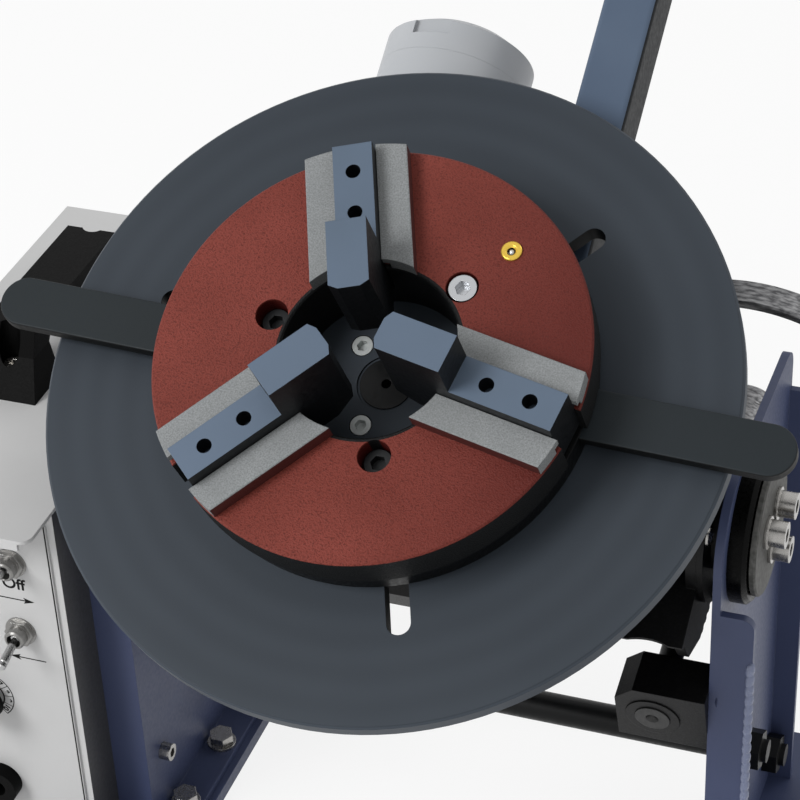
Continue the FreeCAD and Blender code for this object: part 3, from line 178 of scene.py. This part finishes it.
def enamelOnSteel(name, colour, shade, gloss=0.38, peel=0.02, specular=0.5):
    # Sprayed enamel: an even coat with a fine orange peel that breaks the highlights
    material, tree, shader, place = startMaterial(name, colour, gloss, 0.0, specular)
    cloud = noise(tree, place, 90)
    fine = noise(tree, place, 2.2, 2)
    body = mixColours(tree, spread(tree, cloud, 0, 1), colour, shade)
    tree.links.new(body, shader.inputs["Base Color"])
    tree.links.new(spread(tree, fine, gloss - 0.04, gloss + 0.08), shader.inputs["Roughness"])
    bump(tree, shader, fine, peel)
    return material, tree, shader, body


def boxEnamelAndShade():
    # Light grey on the front of the box; the sides and back of its body are drawn dark grey as painted shade,
    # where the box lies in shadow beside the upright
    material, tree, shader, body = enamelOnSteel("controlBoxEnamelAndShade", "#C0C0C0", "#BABABA", 0.42)
    front = reckon(tree, "GREATER_THAN", faceTowards(tree, (0, -1, 0)), 0.6)
    # Painted shade: every face but the front drawn dark grey
    tree.links.new(mixColours(tree, front, "#3B3B3C", body), shader.inputs["Base Color"])
    return material


def castPaint(name, colour, shade, speck, grain=1.6, rough=0.55, depth=0.25, specular=0.4):
    # Brushed paint on rough cast iron: the sand grain of the casting shows through it
    material, tree, shader, place = startMaterial(name, colour, rough, 0.0, specular)
    coarse = noise(tree, place, grain, 4)
    fine = noise(tree, place, grain * 0.45, 2)
    cloud = noise(tree, place, 45)
    body = mixColours(tree, spread(tree, cloud, 0, 1, 0.35, 0.65), colour, shade)
    body = mixColours(tree, spread(tree, coarse, 0, 0.85, 0.48, 0.7), body, speck)
    tree.links.new(body, shader.inputs["Base Color"])
    tree.links.new(spread(tree, fine, rough - 0.1, rough + 0.12), shader.inputs["Roughness"])
    bump(tree, shader, coarse, depth)
    return material, tree, shader, body


def redCastPaint():
    # Red paint on the top and in the screw holes, with painted shade: darker red on the walls of the screw
    # holes and darker towards the right; bare black in the bore and underneath
    material, tree, shader, body = castPaint("castIronRedPaint", "#7E3A31", "#723229",
                                             "#521F18", 0.8, 0.6, 0.5, 0.2)
    place = addNode(tree, "TexCoord").outputs["Object"]
    x, y, z = parts(tree, tablePlace(tree, place))
    reach, height = fromSpindle(tree, place)
    # Painted shade: the red darkens towards the right of the chuck face
    shadeTowardsRight = spread(tree, x, 0, 0.75, finishEdges["shadeRightFrom"], finishEdges["shadeRightTo"])
    body = mixColours(tree, shadeTowardsRight, body, "#4E1610")
    top = reckon(tree, "GREATER_THAN", height, finishEdges["paintBottom"])
    hole = reckon(tree, "LESS_THAN", reach, finishEdges["screwHolesOuter"])
    # Painted shade: faces below the top, the walls of the screw holes, drawn dark red
    body = mixColours(tree, top, "#48100B", body)
    outside = reckon(tree, "GREATER_THAN", reach, finishEdges["paintInner"])
    painted = reckon(tree, "MULTIPLY", outside, reckon(tree, "MAXIMUM", top, hole))
    tree.links.new(mixColours(tree, painted, "#0B0C0D", body), shader.inputs["Base Color"])
    return material


def turnedTableSteel():
    # Blackened mild steel plate, faced on a lathe: nearly even, with faint rings, a painted highlight
    # round its outer edge and painted shade on the walls of the slots
    material, tree, shader, place = startMaterial("blackenedTurnedSteel", "#343A40", 0.5, 0.1,
                                                  0.2)
    reach = fromSpindle(tree, place)[0]
    local = tablePlace(tree, place)
    # Real turning marks are 0.2 mm apart: drawn 2.4 mm apart so that they show
    rings = addNode(tree, "TexWave", {"wave_type": "RINGS", "rings_direction": "Z",
                                      "Scale": 1 / (2.4 * mm) / 20, "Distortion": 0.8,
                                      "Detail": 2.0}, {"Vector": local}).outputs["Fac"]
    cloud = noise(tree, place, 120)
    shade = mixColours(tree, spread(tree, cloud, 0, 1), "#353B42", "#30363D")
    body = mixColours(tree, spread(tree, rings, 0, 0.05, 0, 1), shade, "#59616B")
    # Painted highlight: a lighter band round the outer edge of the table
    rimHighlight = reckon(tree, "GREATER_THAN", reach, finishEdges["tableRimHighlight"])
    body = mixColours(tree, reckon(tree, "MULTIPLY", rimHighlight, 0.15), body, "#59626E")
    # Painted shade: the steep walls of the slots drawn near-black
    steep = reckon(tree, "LESS_THAN", reckon(tree, "ABSOLUTE", faceTowards(tree, spindleAxis),
                                             0), 0.5)
    shadedSlotWall = reckon(tree, "MULTIPLY", steep,
                      reckon(tree, "LESS_THAN", reach, finishEdges["slotsOuter"]))
    tree.links.new(mixColours(tree, shadedSlotWall, body, "#070808"), shader.inputs["Base Color"])
    bump(tree, shader, rings, 0.004)
    return material


def groundSteel(name, colour, dark, size, stretch, rough=0.42, metallic=0.55, blend=0.6):
    # Ground steel: short grains drawn out one way, neither bright nor blurred
    material, tree, shader, place = startMaterial(name, colour, rough, metallic)
    local = tablePlace(tree, place)
    grain = noise(tree, local, size, 4, stretch)
    broad = noise(tree, local, 14, 2)
    body = mixColours(tree, spread(tree, grain, 0, blend, 0.35, 0.65), colour, dark)
    tree.links.new(mixColours(tree, spread(tree, broad, 0, 0.25), body, dark),
                   shader.inputs["Base Color"])
    tree.links.new(spread(tree, grain, rough - 0.08, rough + 0.1), shader.inputs["Roughness"])
    bump(tree, shader, grain, 0.01)
    return material


def bluedJawSteel():
    # Hardened jaws: blue oxide on the ground tops, with their sides drawn near-black as painted shade
    material, tree, shader, body = enamelOnSteel("bluedJawSteel", "#5B6A7D", "#526070", 0.45,
                                                 0.004, 0.3)
    up = reckon(tree, "GREATER_THAN", faceTowards(tree, spindleAxis), squareOn)
    # Painted shade: faces that do not look up the spindle drawn near-black
    tree.links.new(mixColours(tree, up, "#0A0C0F", body), shader.inputs["Base Color"])
    return material


def waySteel():
    # Ground top and ends of the ways, with the flanks that face the body under red paint, drawn
    # dark red: the red paint darkened by painted shade
    material = groundSteel("mottledWaySteel", "#8C8F90", "#6A6D6E", 0.7, None, 0.6, 0.1, 0.8)
    tree = material.node_tree
    shader = tree.nodes["Principled BSDF"]
    place = addNode(tree, "TexCoord").outputs["Object"]
    x, y, z = parts(tree, tablePlace(tree, place))
    reach = fromSpindle(tree, place)[0]
    across = reckon(tree, "MULTIPLY", faceTowards(tree, (1, 0, 0)), x)
    along = reckon(tree, "MULTIPLY", faceTowards(tree, tableUp), y)
    outward = reckon(tree, "DIVIDE", reckon(tree, "ADD", across, along), reach)
    steep = reckon(tree, "LESS_THAN", reckon(tree, "ABSOLUTE", faceTowards(tree, spindleAxis),
                                             0), 0.4)
    shadedFlank = reckon(tree, "MULTIPLY", reckon(tree, "GREATER_THAN", outward, 0.05),
                   reckon(tree, "LESS_THAN", outward, 0.84))
    shadedFlank = reckon(tree, "MULTIPLY", shadedFlank, steep)
    ground = shader.inputs["Base Color"].links[0].from_socket
    # Painted shade: the flanks drawn dark red, darker than the red paint on the top
    tree.links.new(mixColours(tree, shadedFlank, ground, "#3E100C"), shader.inputs["Base Color"])
    return material


def smoothMetal(name, colour, roughness, metallic=1.0, scratch=0.004, stretch=(1, 1, 0.2),
                streak=None):
    # Turned or plated metal: smooth, with hairline scratches in the highlight
    specular = 0.25 if metallic < 0.5 else 0.5
    material, tree, shader, place = startMaterial(name, colour, roughness, metallic,
                                                  specular)
    fine = noise(tree, place, 1.5, 3, stretch)
    tree.links.new(spread(tree, fine, roughness * 0.8, roughness * 1.25),
                   shader.inputs["Roughness"])
    if streak:
        tree.links.new(mixColours(tree, spread(tree, fine, 0, 1, 0.35, 0.65), colour, streak),
                       shader.inputs["Base Color"])
    bump(tree, shader, fine, scratch)
    return material


def armEnamel():
    # Steel-blue enamel on the arm's front, with its right-facing flanks drawn near-black as painted shade
    material, tree, shader, body = enamelOnSteel("steelBlueEnamel", "#5D6B7D", "#4E5C70", 0.5,
                                                 0.03, 0.15)
    shadedFlank = reckon(tree, "GREATER_THAN", faceTowards(tree, (1, 0, 0)), squareOn)
    # Painted shade: the flanks that face right drawn near-black
    tree.links.new(mixColours(tree, shadedFlank, body, "#0F1216"), shader.inputs["Base Color"])
    return material


def chuckScrewSteel():
    # Black oxide cap screws, with one bright zinc screw put in beside the upper jaw
    material, tree, shader, place = startMaterial("chuckCapScrews", "#17191B", 0.4, 0.5)
    x, y, z = parts(tree, tablePlace(tree, place))
    bright = reckon(tree, "MULTIPLY",
                    reckon(tree, "GREATER_THAN", x, finishEdges["brightScrewX"]),
                    reckon(tree, "GREATER_THAN", y, 0.0))
    tree.links.new(mixColours(tree, bright, "#17191B", "#B9BBBE"), shader.inputs["Base Color"])
    tree.links.new(spread(tree, bright, 0.45, 0.25, 0, 1), shader.inputs["Roughness"])
    tree.links.new(spread(tree, bright, 0.4, 1.0, 0, 1), shader.inputs["Metallic"])
    bump(tree, shader, noise(tree, place, 1.2, 2), 0.01)
    return material


def capSteel():
    # Sawn and etched steel discs: a dull mottled face
    material, tree, shader, place = startMaterial("etchedCapSteel", "#5A5A58", 0.6, 0.3, 0.2)
    mottle = noise(tree, place, 2.4, 5)
    body = mixColours(tree, spread(tree, mottle, 0, 1, 0.35, 0.65), "#626260", "#484846")
    tree.links.new(body, shader.inputs["Base Color"])
    bump(tree, shader, mottle, 0.03)
    return material


def oilerBrass():
    # Turned brass ring round a spring-loaded steel ball
    material = smoothMetal("oilerBrass", "#D9B64C", 0.3, 0.8)
    tree = material.node_tree
    shader = tree.nodes["Principled BSDF"]
    low, high = [Vector(corner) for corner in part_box("oiler")]
    centre = tableFrame.inverted() @ ((low + high) / 2)
    place = addNode(tree, "TexCoord").outputs["Object"]
    x, y, z = parts(tree, tablePlace(tree, place))
    flat = addNode(tree, "CombineXYZ", {}, {"X": x, "Y": y}).outputs["Vector"]
    reach = addNode(tree, "VectorMath", {"operation": "DISTANCE", 1: (centre.x, centre.y, 0)},
                    {0: flat}).outputs["Value"]
    ring = mixColours(tree, reckon(tree, "LESS_THAN", reach, finishEdges["oilerWell"]),
                      "#D9B64C", "#4A3B12")
    ball = mixColours(tree, reckon(tree, "LESS_THAN", reach, finishEdges["oilerBall"]),
                      ring, "#C2C2BE")
    tree.links.new(ball, shader.inputs["Base Color"])
    return material


def leverSteel():
    # Black oxide flat bar: a dull blue-grey top, with its edges drawn near-black as painted shade
    material, tree, shader, body = enamelOnSteel("oxideLeverSteel", "#1F2529", "#1B2124",
                                                 0.5, 0.004, 0.2)
    up = reckon(tree, "GREATER_THAN", faceTowards(tree, spindleAxis), squareOn)
    # Painted shade: faces that do not look up the spindle drawn near-black
    tree.links.new(mixColours(tree, up, "#050606", body), shader.inputs["Base Color"])
    return material


def plastic(name, colour, roughness, texture=0.05):
    # Moulded nylon: a fine spark-eroded texture that keeps the highlights soft
    material, tree, shader, place = startMaterial(name, colour, roughness, 0.0, 0.06)
    grain = noise(tree, place, 0.9, 2)
    tree.links.new(spread(tree, grain, roughness - 0.05, roughness + 0.08),
                   shader.inputs["Roughness"])
    bump(tree, shader, grain, texture)
    return material


def makeMaterials():
    return {
        "frame_paint": enamelOnSteel("satinFrameEnamel", "#444D6C", "#3E4663", 0.42, 0.02,
                                     0.3)[0],
        "box_paint": enamelOnSteel("lightGreyEnamel", "#C5C5C5", "#BCBCBC", 0.42)[0],
        "panel_print": enamelOnSteel("printedPanelFilm", "#BEBEBE", "#B9B9B9", 0.5, 0.005)[0],
        "red_paint": redCastPaint(),
        "motor_paint": enamelOnSteel("motorGreyEnamel", "#B4B6B9", "#A8ABAF", 0.4)[0],
        "arm_paint": armEnamel(),
        "table_steel": turnedTableSteel(),
        "ground_steel": groundSteel("groundSteel", "#8E8E8C", "#6C6C6A", 0.9, (1, 0.35, 1)),
        "cap_steel": capSteel(),
        "blued_steel": bluedJawSteel(),
        "black_steel": smoothMetal("blackOxideSteel", "#0B0C0D", 0.42, 0.3),
        "core_steel": smoothMetal("varnishedCore", "#5A5B5E", 0.5, 0.6),
        "black_castings": castPaint("blackCastEnamel", "#0A0A0B", "#070708", "#141415", 1.2,
                                    0.4, 0.06, 0.2)[0],
        "zinc": smoothMetal("brightZinc", "#A5A3A0", 0.24, 0.95),
        "chrome": smoothMetal("satinChrome", "#AFAFAF", 0.28, 1.0, 0.002),
        "bronze": smoothMetal("bushBronze", "#6F5A3C", 0.4, 0.8),
        "black_moulding": plastic("blackNylon", "#050505", 0.5),
        "board_resin": plastic("boardResin", "#23543A", 0.5),
    }


def makeNodeMaterials():
    # Nodes whose finish differs from the rest of their slot
    blackEnamel = bpy.data.materials["blackCastEnamel"]
    return {
        "control_box": boxEnamelAndShade(),
        "jaw_ways": waySteel(),
        "chuck_screws": chuckScrewSteel(),
        "tilt_sector": blackEnamel,
        "worm_bushes": blackEnamel,
        "trunnion_bushes": blackEnamel,
        "trunnion_shafts": blackEnamel,
        "trunnion_housings": castPaint("glossBlackEnamel", "#050505", "#040404", "#070707",
                                       3.0, 0.3, 0.01, 0.06)[0],
        "oiler": oilerBrass(),
        "table_screws": smoothMetal("plainZinc", "#C4C8C7", 0.4, 0.3),
        "tilt_worm": smoothMetal("oiledShaftSteel", "#3C3C3C", 0.4, 0.8),
        "handwheel": smoothMetal("brushedWheelSteel", "#8C8C8D", 0.36, 0.9, 0.03,
                                 (0.25, 1, 1), "#4E4E50"),
        "switch_bodies": smoothMetal("nickelBush", "#8B8A88", 0.3, 0.9),
        "lever_bars": leverSteel(),
        # The spindle end: black steel, drawn darker still as painted shade deep in the chuck's bore
        "spindle": smoothMetal("spindleBlackAndShade", "#050607", 0.35, 0.2),
    }


def dressNodes(materials, ownMaterials):
    slotOf = {s["node"]: s["material_slot"] for s in frame["record"]["subparts"]}
    for name, node in nodes.items():
        node.data.materials.clear()
        node.data.materials.append(ownMaterials.get(name) or materials[slotOf[name]])


# Printing on the panel

panelPrint = {
    "lineWidth": 0.6,
    "borderInset": 0.9,                # from the panel's edge
    "borderWidth": 0.8,
    "arrowWidth": 0.7,
    "lift": 0.05,                      # in front of the panel's face
    "inkColour": "#121212",
    "letterSize": 9.5,
    "letterWeight": 0.2,
    "onPlace": (-215.0, 205.0),
    "offPlace": (-196.6, 187.2),
    "arrowLength": 20.3,
    "arrowHead": (6.2, 1.9),           # length, half width
    "arrowTips": ((-186.2, 177.6, 1), (-205.2, 139.4, -1)),
    "dialCentre": (-222.0, 109.0),
    "dialRadii": (9.0, 14.4),
    "dialSpan": (-50.0, 230.0),        # degrees from the right, turning up
    "dialSteps": 10,
    "tickWidth": 0.4,
    "numberSize": 4.2,
}


def panelFace():
    low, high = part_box("control_panel")
    return Vector(low), Vector(high)


def printMesh(name, faces, ink):
    # Flat ink shapes, given as outlines in millimetres across the panel
    front = panelFace()[0].y - panelPrint["lift"] * mm
    shape = bmesh.new()
    for outline in faces:
        points = [shape.verts.new((x * mm, front, z * mm)) for x, z in outline]
        shape.faces.new(points)
    mesh = bpy.data.meshes.new(name)
    shape.to_mesh(mesh)
    shape.free()
    mesh.materials.append(ink)
    piece = bpy.data.objects.new(name, mesh)
    bpy.context.scene.collection.objects.link(piece)
    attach(piece, "frame")


def bar(x0, z0, x1, z1, width):
    along = Vector((x1 - x0, z1 - z0))
    side = Vector((-along.y, along.x)).normalized() * width / 2
    return [(x0 + side.x, z0 + side.y), (x0 - side.x, z0 - side.y),
            (x1 - side.x, z1 - side.y), (x1 + side.x, z1 + side.y)]


def arc(centre, radius, width, start, end, count=48):
    pieces = []
    for k in range(count):
        a, b = [math.radians(start + (end - start) * (k + s) / count) for s in (0, 1)]
        corners = []
        for reach, angle in ((radius - width / 2, a), (radius + width / 2, a),
                             (radius + width / 2, b), (radius - width / 2, b)):
            corners.append((centre[0] + reach * math.cos(angle),
                            centre[1] + reach * math.sin(angle)))
        pieces.append(corners)
    return pieces


def printWord(name, word, size, x, z, turn, ink):
    curve = bpy.data.curves.new(name, "FONT")
    curve.body = word
    curve.size = size * mm
    curve.align_x = "CENTER"
    curve.align_y = "CENTER"
    curve.offset = panelPrint["letterWeight"] * mm
    curve.materials.append(ink)
    piece = bpy.data.objects.new(name, curve)
    bpy.context.scene.collection.objects.link(piece)
    front = panelFace()[0].y - panelPrint["lift"] * mm
    stand = Matrix.Rotation(math.radians(90), 4, "X")
    piece.matrix_world = (Matrix.Translation((x * mm, front, z * mm)) @ stand
                          @ Matrix.Rotation(math.radians(turn), 4, "Z"))
    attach(piece, "frame")


def makePanelPrint():
    p = panelPrint
    # Screen-printed ink: flat black, a little uneven where it lies thin
    ink = startMaterial("panelInk", p["inkColour"], 0.6, 0.0, 0.1)
    material, tree, shader, place = ink
    tree.links.new(mixColours(tree, spread(tree, noise(tree, place, 1.5), 0, 1), "#0A0A0A",
                              "#141414"), shader.inputs["Base Color"])
    width = p["lineWidth"]
    low, high = [corner / mm for corner in panelFace()]
    inset = p["borderInset"]
    edges = []
    for x in (low.x + inset, high.x - inset):
        edges.append(bar(x, low.z + inset, x, high.z - inset, p["borderWidth"]))
    for z in (low.z + inset, high.z - inset):
        edges.append(bar(low.x + inset, z, high.x - inset, z, p["borderWidth"]))
    printMesh("panel_border_line", edges, material)
    reach, half = p["arrowHead"]
    arrows = []
    for x, z, way in p["arrowTips"]:
        arrows.append([(x, z), (x - way * reach, z + half), (x - way * reach * 0.8, z),
                       (x - way * reach, z - half)])
        arrows.append(bar(x - way * reach * 0.8, z, x - way * p["arrowLength"], z,
                          p["arrowWidth"]))
    printMesh("panel_arrows", arrows, material)
    for name, word in (("on", "On"), ("off", "Off")):
        x, z = p[name + "Place"]
        printWord("panel_word_" + name, word, p["letterSize"], x, z, 0, material)
    start, end = p["dialSpan"]
    inner, outer = p["dialRadii"]
    centre = p["dialCentre"]
    dial = arc(centre, outer, width, start, end) + arc(centre, inner, width * 1.5, start, end)
    step = (end - start) / p["dialSteps"]
    for k in range(p["dialSteps"] + 1):
        a = math.radians(start + step * k)
        dial.append(bar(centre[0] + inner * math.cos(a), centre[1] + inner * math.sin(a),
                        centre[0] + outer * math.cos(a), centre[1] + outer * math.sin(a),
                        p["tickWidth"]))
    printMesh("dial_scale", dial, material)
    middle = (inner + outer) / 2
    for k in range(p["dialSteps"]):
        angle = end - step * (k + 0.5)
        a = math.radians(angle)
        printWord("dial_number_%d" % (k + 1), str(k + 1), p["numberSize"],
                  centre[0] + middle * math.cos(a), centre[1] + middle * math.sin(a),
                  angle - 90, material)
    print("panel print done")


# Weld beads down the corner of the right upright

cornerWeld = {
    "inset": 1.0,                      # from the free edge of the flange
    "top": 199.0,
    "bottom": 60.0,
    "pitch": 6.0,
    "beadLength": 9.5,
    "beadWidth": 4.6,
    "beadHeight": 1.7,
    "beadSink": 0.3,                   # into the flange
    "beadLean": 1.2,
    "rows": 7,
    "columns": 10,
}


def makeCornerWeld(paint):
    w = cornerWeld
    low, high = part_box("upright_right")
    corner = Vector((high[0] / mm - w["inset"], low[1] / mm, 0))
    shape = bmesh.new()
    rows = w["rows"]
    cols = w["columns"]
    count = int((w["top"] - w["bottom"]) / w["pitch"])
    for k in range(count):
        middle = w["top"] - w["pitch"] * k
        grid = []
        for i in range(rows + 1):
            s = i / rows * 2 - 1
            line = []
            for j in range(cols + 1):
                a = math.pi * 2 * j / cols
                narrow = math.sqrt(max(0.0, 1 - s * s))
                line.append(shape.verts.new((
                    (corner.x + math.cos(a) * narrow * w["beadWidth"] / 2) * mm,
                    (corner.y + w["beadSink"] + math.sin(a) * narrow * w["beadHeight"]) * mm,
                    (middle + s * w["beadLength"] / 2 
                     + w["beadLean"] * narrow * math.cos(a)) * mm)))
            grid.append(line)
        for i in range(rows):
            for j in range(cols):
                shape.faces.new((grid[i][j], grid[i][j + 1], grid[i + 1][j + 1],
                                 grid[i + 1][j]))
    bmesh.ops.remove_doubles(shape, verts=shape.verts, dist=0.00002)
    bmesh.ops.recalc_face_normals(shape, faces=shape.faces)
    mesh = bpy.data.meshes.new("corner_weld")
    shape.to_mesh(mesh)
    shape.free()
    for polygon in mesh.polygons:
        polygon.use_smooth = True
    mesh.materials.append(paint)
    piece = bpy.data.objects.new("corner_weld", mesh)
    bpy.context.scene.collection.objects.link(piece)
    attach(piece, "frame")
    print("corner weld done")


# Camera, floor and light

camera = {
    "eye": (0.349217, -0.937883, 0.974623),
    "right": (0.94395608, 0.32809414, -0.03607166),
    "down": (0.16325419, -0.55906848, -0.81289022),
    "forward": (-0.28687104, 0.76144381, -0.58129883),
    "focalPixels": 2569.225,
    "centrePixels": (422.948, 448.181),
    "frame": 800,
    "sensor": 36,
    "nearest": 0.05,
}


def makeCamera():
    data = bpy.data.cameras.new("photoCamera")
    eye = bpy.data.objects.new("photoCamera", data)
    bpy.context.scene.collection.objects.link(eye)
    right = Vector(camera["right"])
    up = -Vector(camera["down"])
    back = -Vector(camera["forward"])
    turn = Matrix((right, up, back)).transposed().to_4x4()
    eye.matrix_world = Matrix.Translation(camera["eye"]) @ turn
    data.sensor_width = camera["sensor"]
    data.lens = camera["focalPixels"] * data.sensor_width / camera["frame"]
    half = camera["frame"] / 2
    data.shift_x = (half - camera["centrePixels"][0]) / camera["frame"]
    data.shift_y = (camera["centrePixels"][1] - half) / camera["frame"]
    data.clip_start = camera["nearest"]
    bpy.context.scene.camera = eye


studio = {
    "worldGrey": 0.46,                 # average of the soft light all round
    "worldSwing": 0.18,                # brighter from the left, front and above
    "worldSide": (-0.5, -0.4, 0.77),
    "floorColour": "#F2F2F2",
    "floorReach": 30,
    "floorWhite": 0.85,                # share of plain white that the camera sees
    "aimHeight": 0.25,
    "lamps": (
        ("keyLamp", (-1.55, -2.0, 2.0), 1.4, 60.0),
        ("backLamp", (1.6, 1.9, 2.2), 1.6, 9.0),
    ),
}


def makeWorld():
    world = bpy.data.worlds.new("studioWorld")
    bpy.context.scene.world = world
    world.use_nodes = True
    tree = world.node_tree
    tree.nodes.clear()
    ray = addNode(tree, "LightPath")
    seen = reckon(tree, "MAXIMUM", ray.outputs["Is Camera Ray"], ray.outputs["Is Glossy Ray"])
    seen = reckon(tree, "MAXIMUM", seen, ray.outputs["Is Transmission Ray"])
    direction = addNode(tree, "TexCoord").outputs["Generated"]
    side = addNode(tree, "VectorMath", {"operation": "DOT_PRODUCT", 1: studio["worldSide"]},
                   {0: direction}).outputs["Value"]
    grey = studio["worldGrey"]
    swing = studio["worldSwing"]
    level = spread(tree, side, grey - swing, grey + swing, -1, 1)
    soft = addNode(tree, "Background", {"Color": (1, 1, 1, 1)}, {"Strength": level})
    white = addNode(tree, "Background", {"Color": (1, 1, 1, 1), "Strength": 1.0})
    mixed = addNode(tree, "MixShader", {}, {0: seen, 1: soft.outputs["Background"],
                                            2: white.outputs["Background"]})
    output = addNode(tree, "OutputWorld")
    tree.links.new(mixed.outputs["Shader"], output.inputs["Surface"])


def makeFloor():
    mesh = bpy.data.meshes.new("studioFloor")
    shape = bmesh.new()
    bmesh.ops.create_grid(shape, x_segments=1, y_segments=1, size=studio["floorReach"])
    shape.to_mesh(mesh)
    shape.free()
    floor = bpy.data.objects.new("studioFloor", mesh)
    bpy.context.scene.collection.objects.link(floor)
    material, tree, shader, place = startMaterial("paleFloor", studio["floorColour"], 0.9)
    ray = addNode(tree, "LightPath")
    seen = reckon(tree, "MAXIMUM", ray.outputs["Is Camera Ray"], ray.outputs["Is Glossy Ray"])
    share = reckon(tree, "MULTIPLY", seen, studio["floorWhite"])
    white = addNode(tree, "Emission", {"Color": (1, 1, 1, 1), "Strength": 1.0})
    mixed = addNode(tree, "MixShader", {}, {0: share,
                                            1: shader.outputs["BSDF"],
                                            2: white.outputs["Emission"]})
    output = tree.nodes["Material Output"]
    tree.links.new(mixed.outputs["Shader"], output.inputs["Surface"])
    mesh.materials.append(material)


def makeLamps():
    for name, place, size, power in studio["lamps"]:
        data = bpy.data.lights.new(name, "AREA")
        data.shape = "DISK"
        data.size = size
        data.energy = power
        lamp = bpy.data.objects.new(name, data)
        bpy.context.scene.collection.objects.link(lamp)
        lamp.location = place
        aim = Vector((0, 0, studio["aimHeight"])) - Vector(place)
        lamp.rotation_euler = aim.to_track_quat("-Z", "Y").to_euler()


bpy.context.scene.view_settings.view_transform = "Standard"
makeCamera()
makeWorld()
makeFloor()
makeLamps()
dressNodes(makeMaterials(), makeNodeMaterials())
print("materials and studio done")
makePanelPrint()
# The beads are drawn in a lighter blue than the frame's enamel: a painted highlight on the weld
makeCornerWeld(enamelOnSteel("weldEnamelHighlight", "#7A829C", "#6C7490", 0.22)[0])
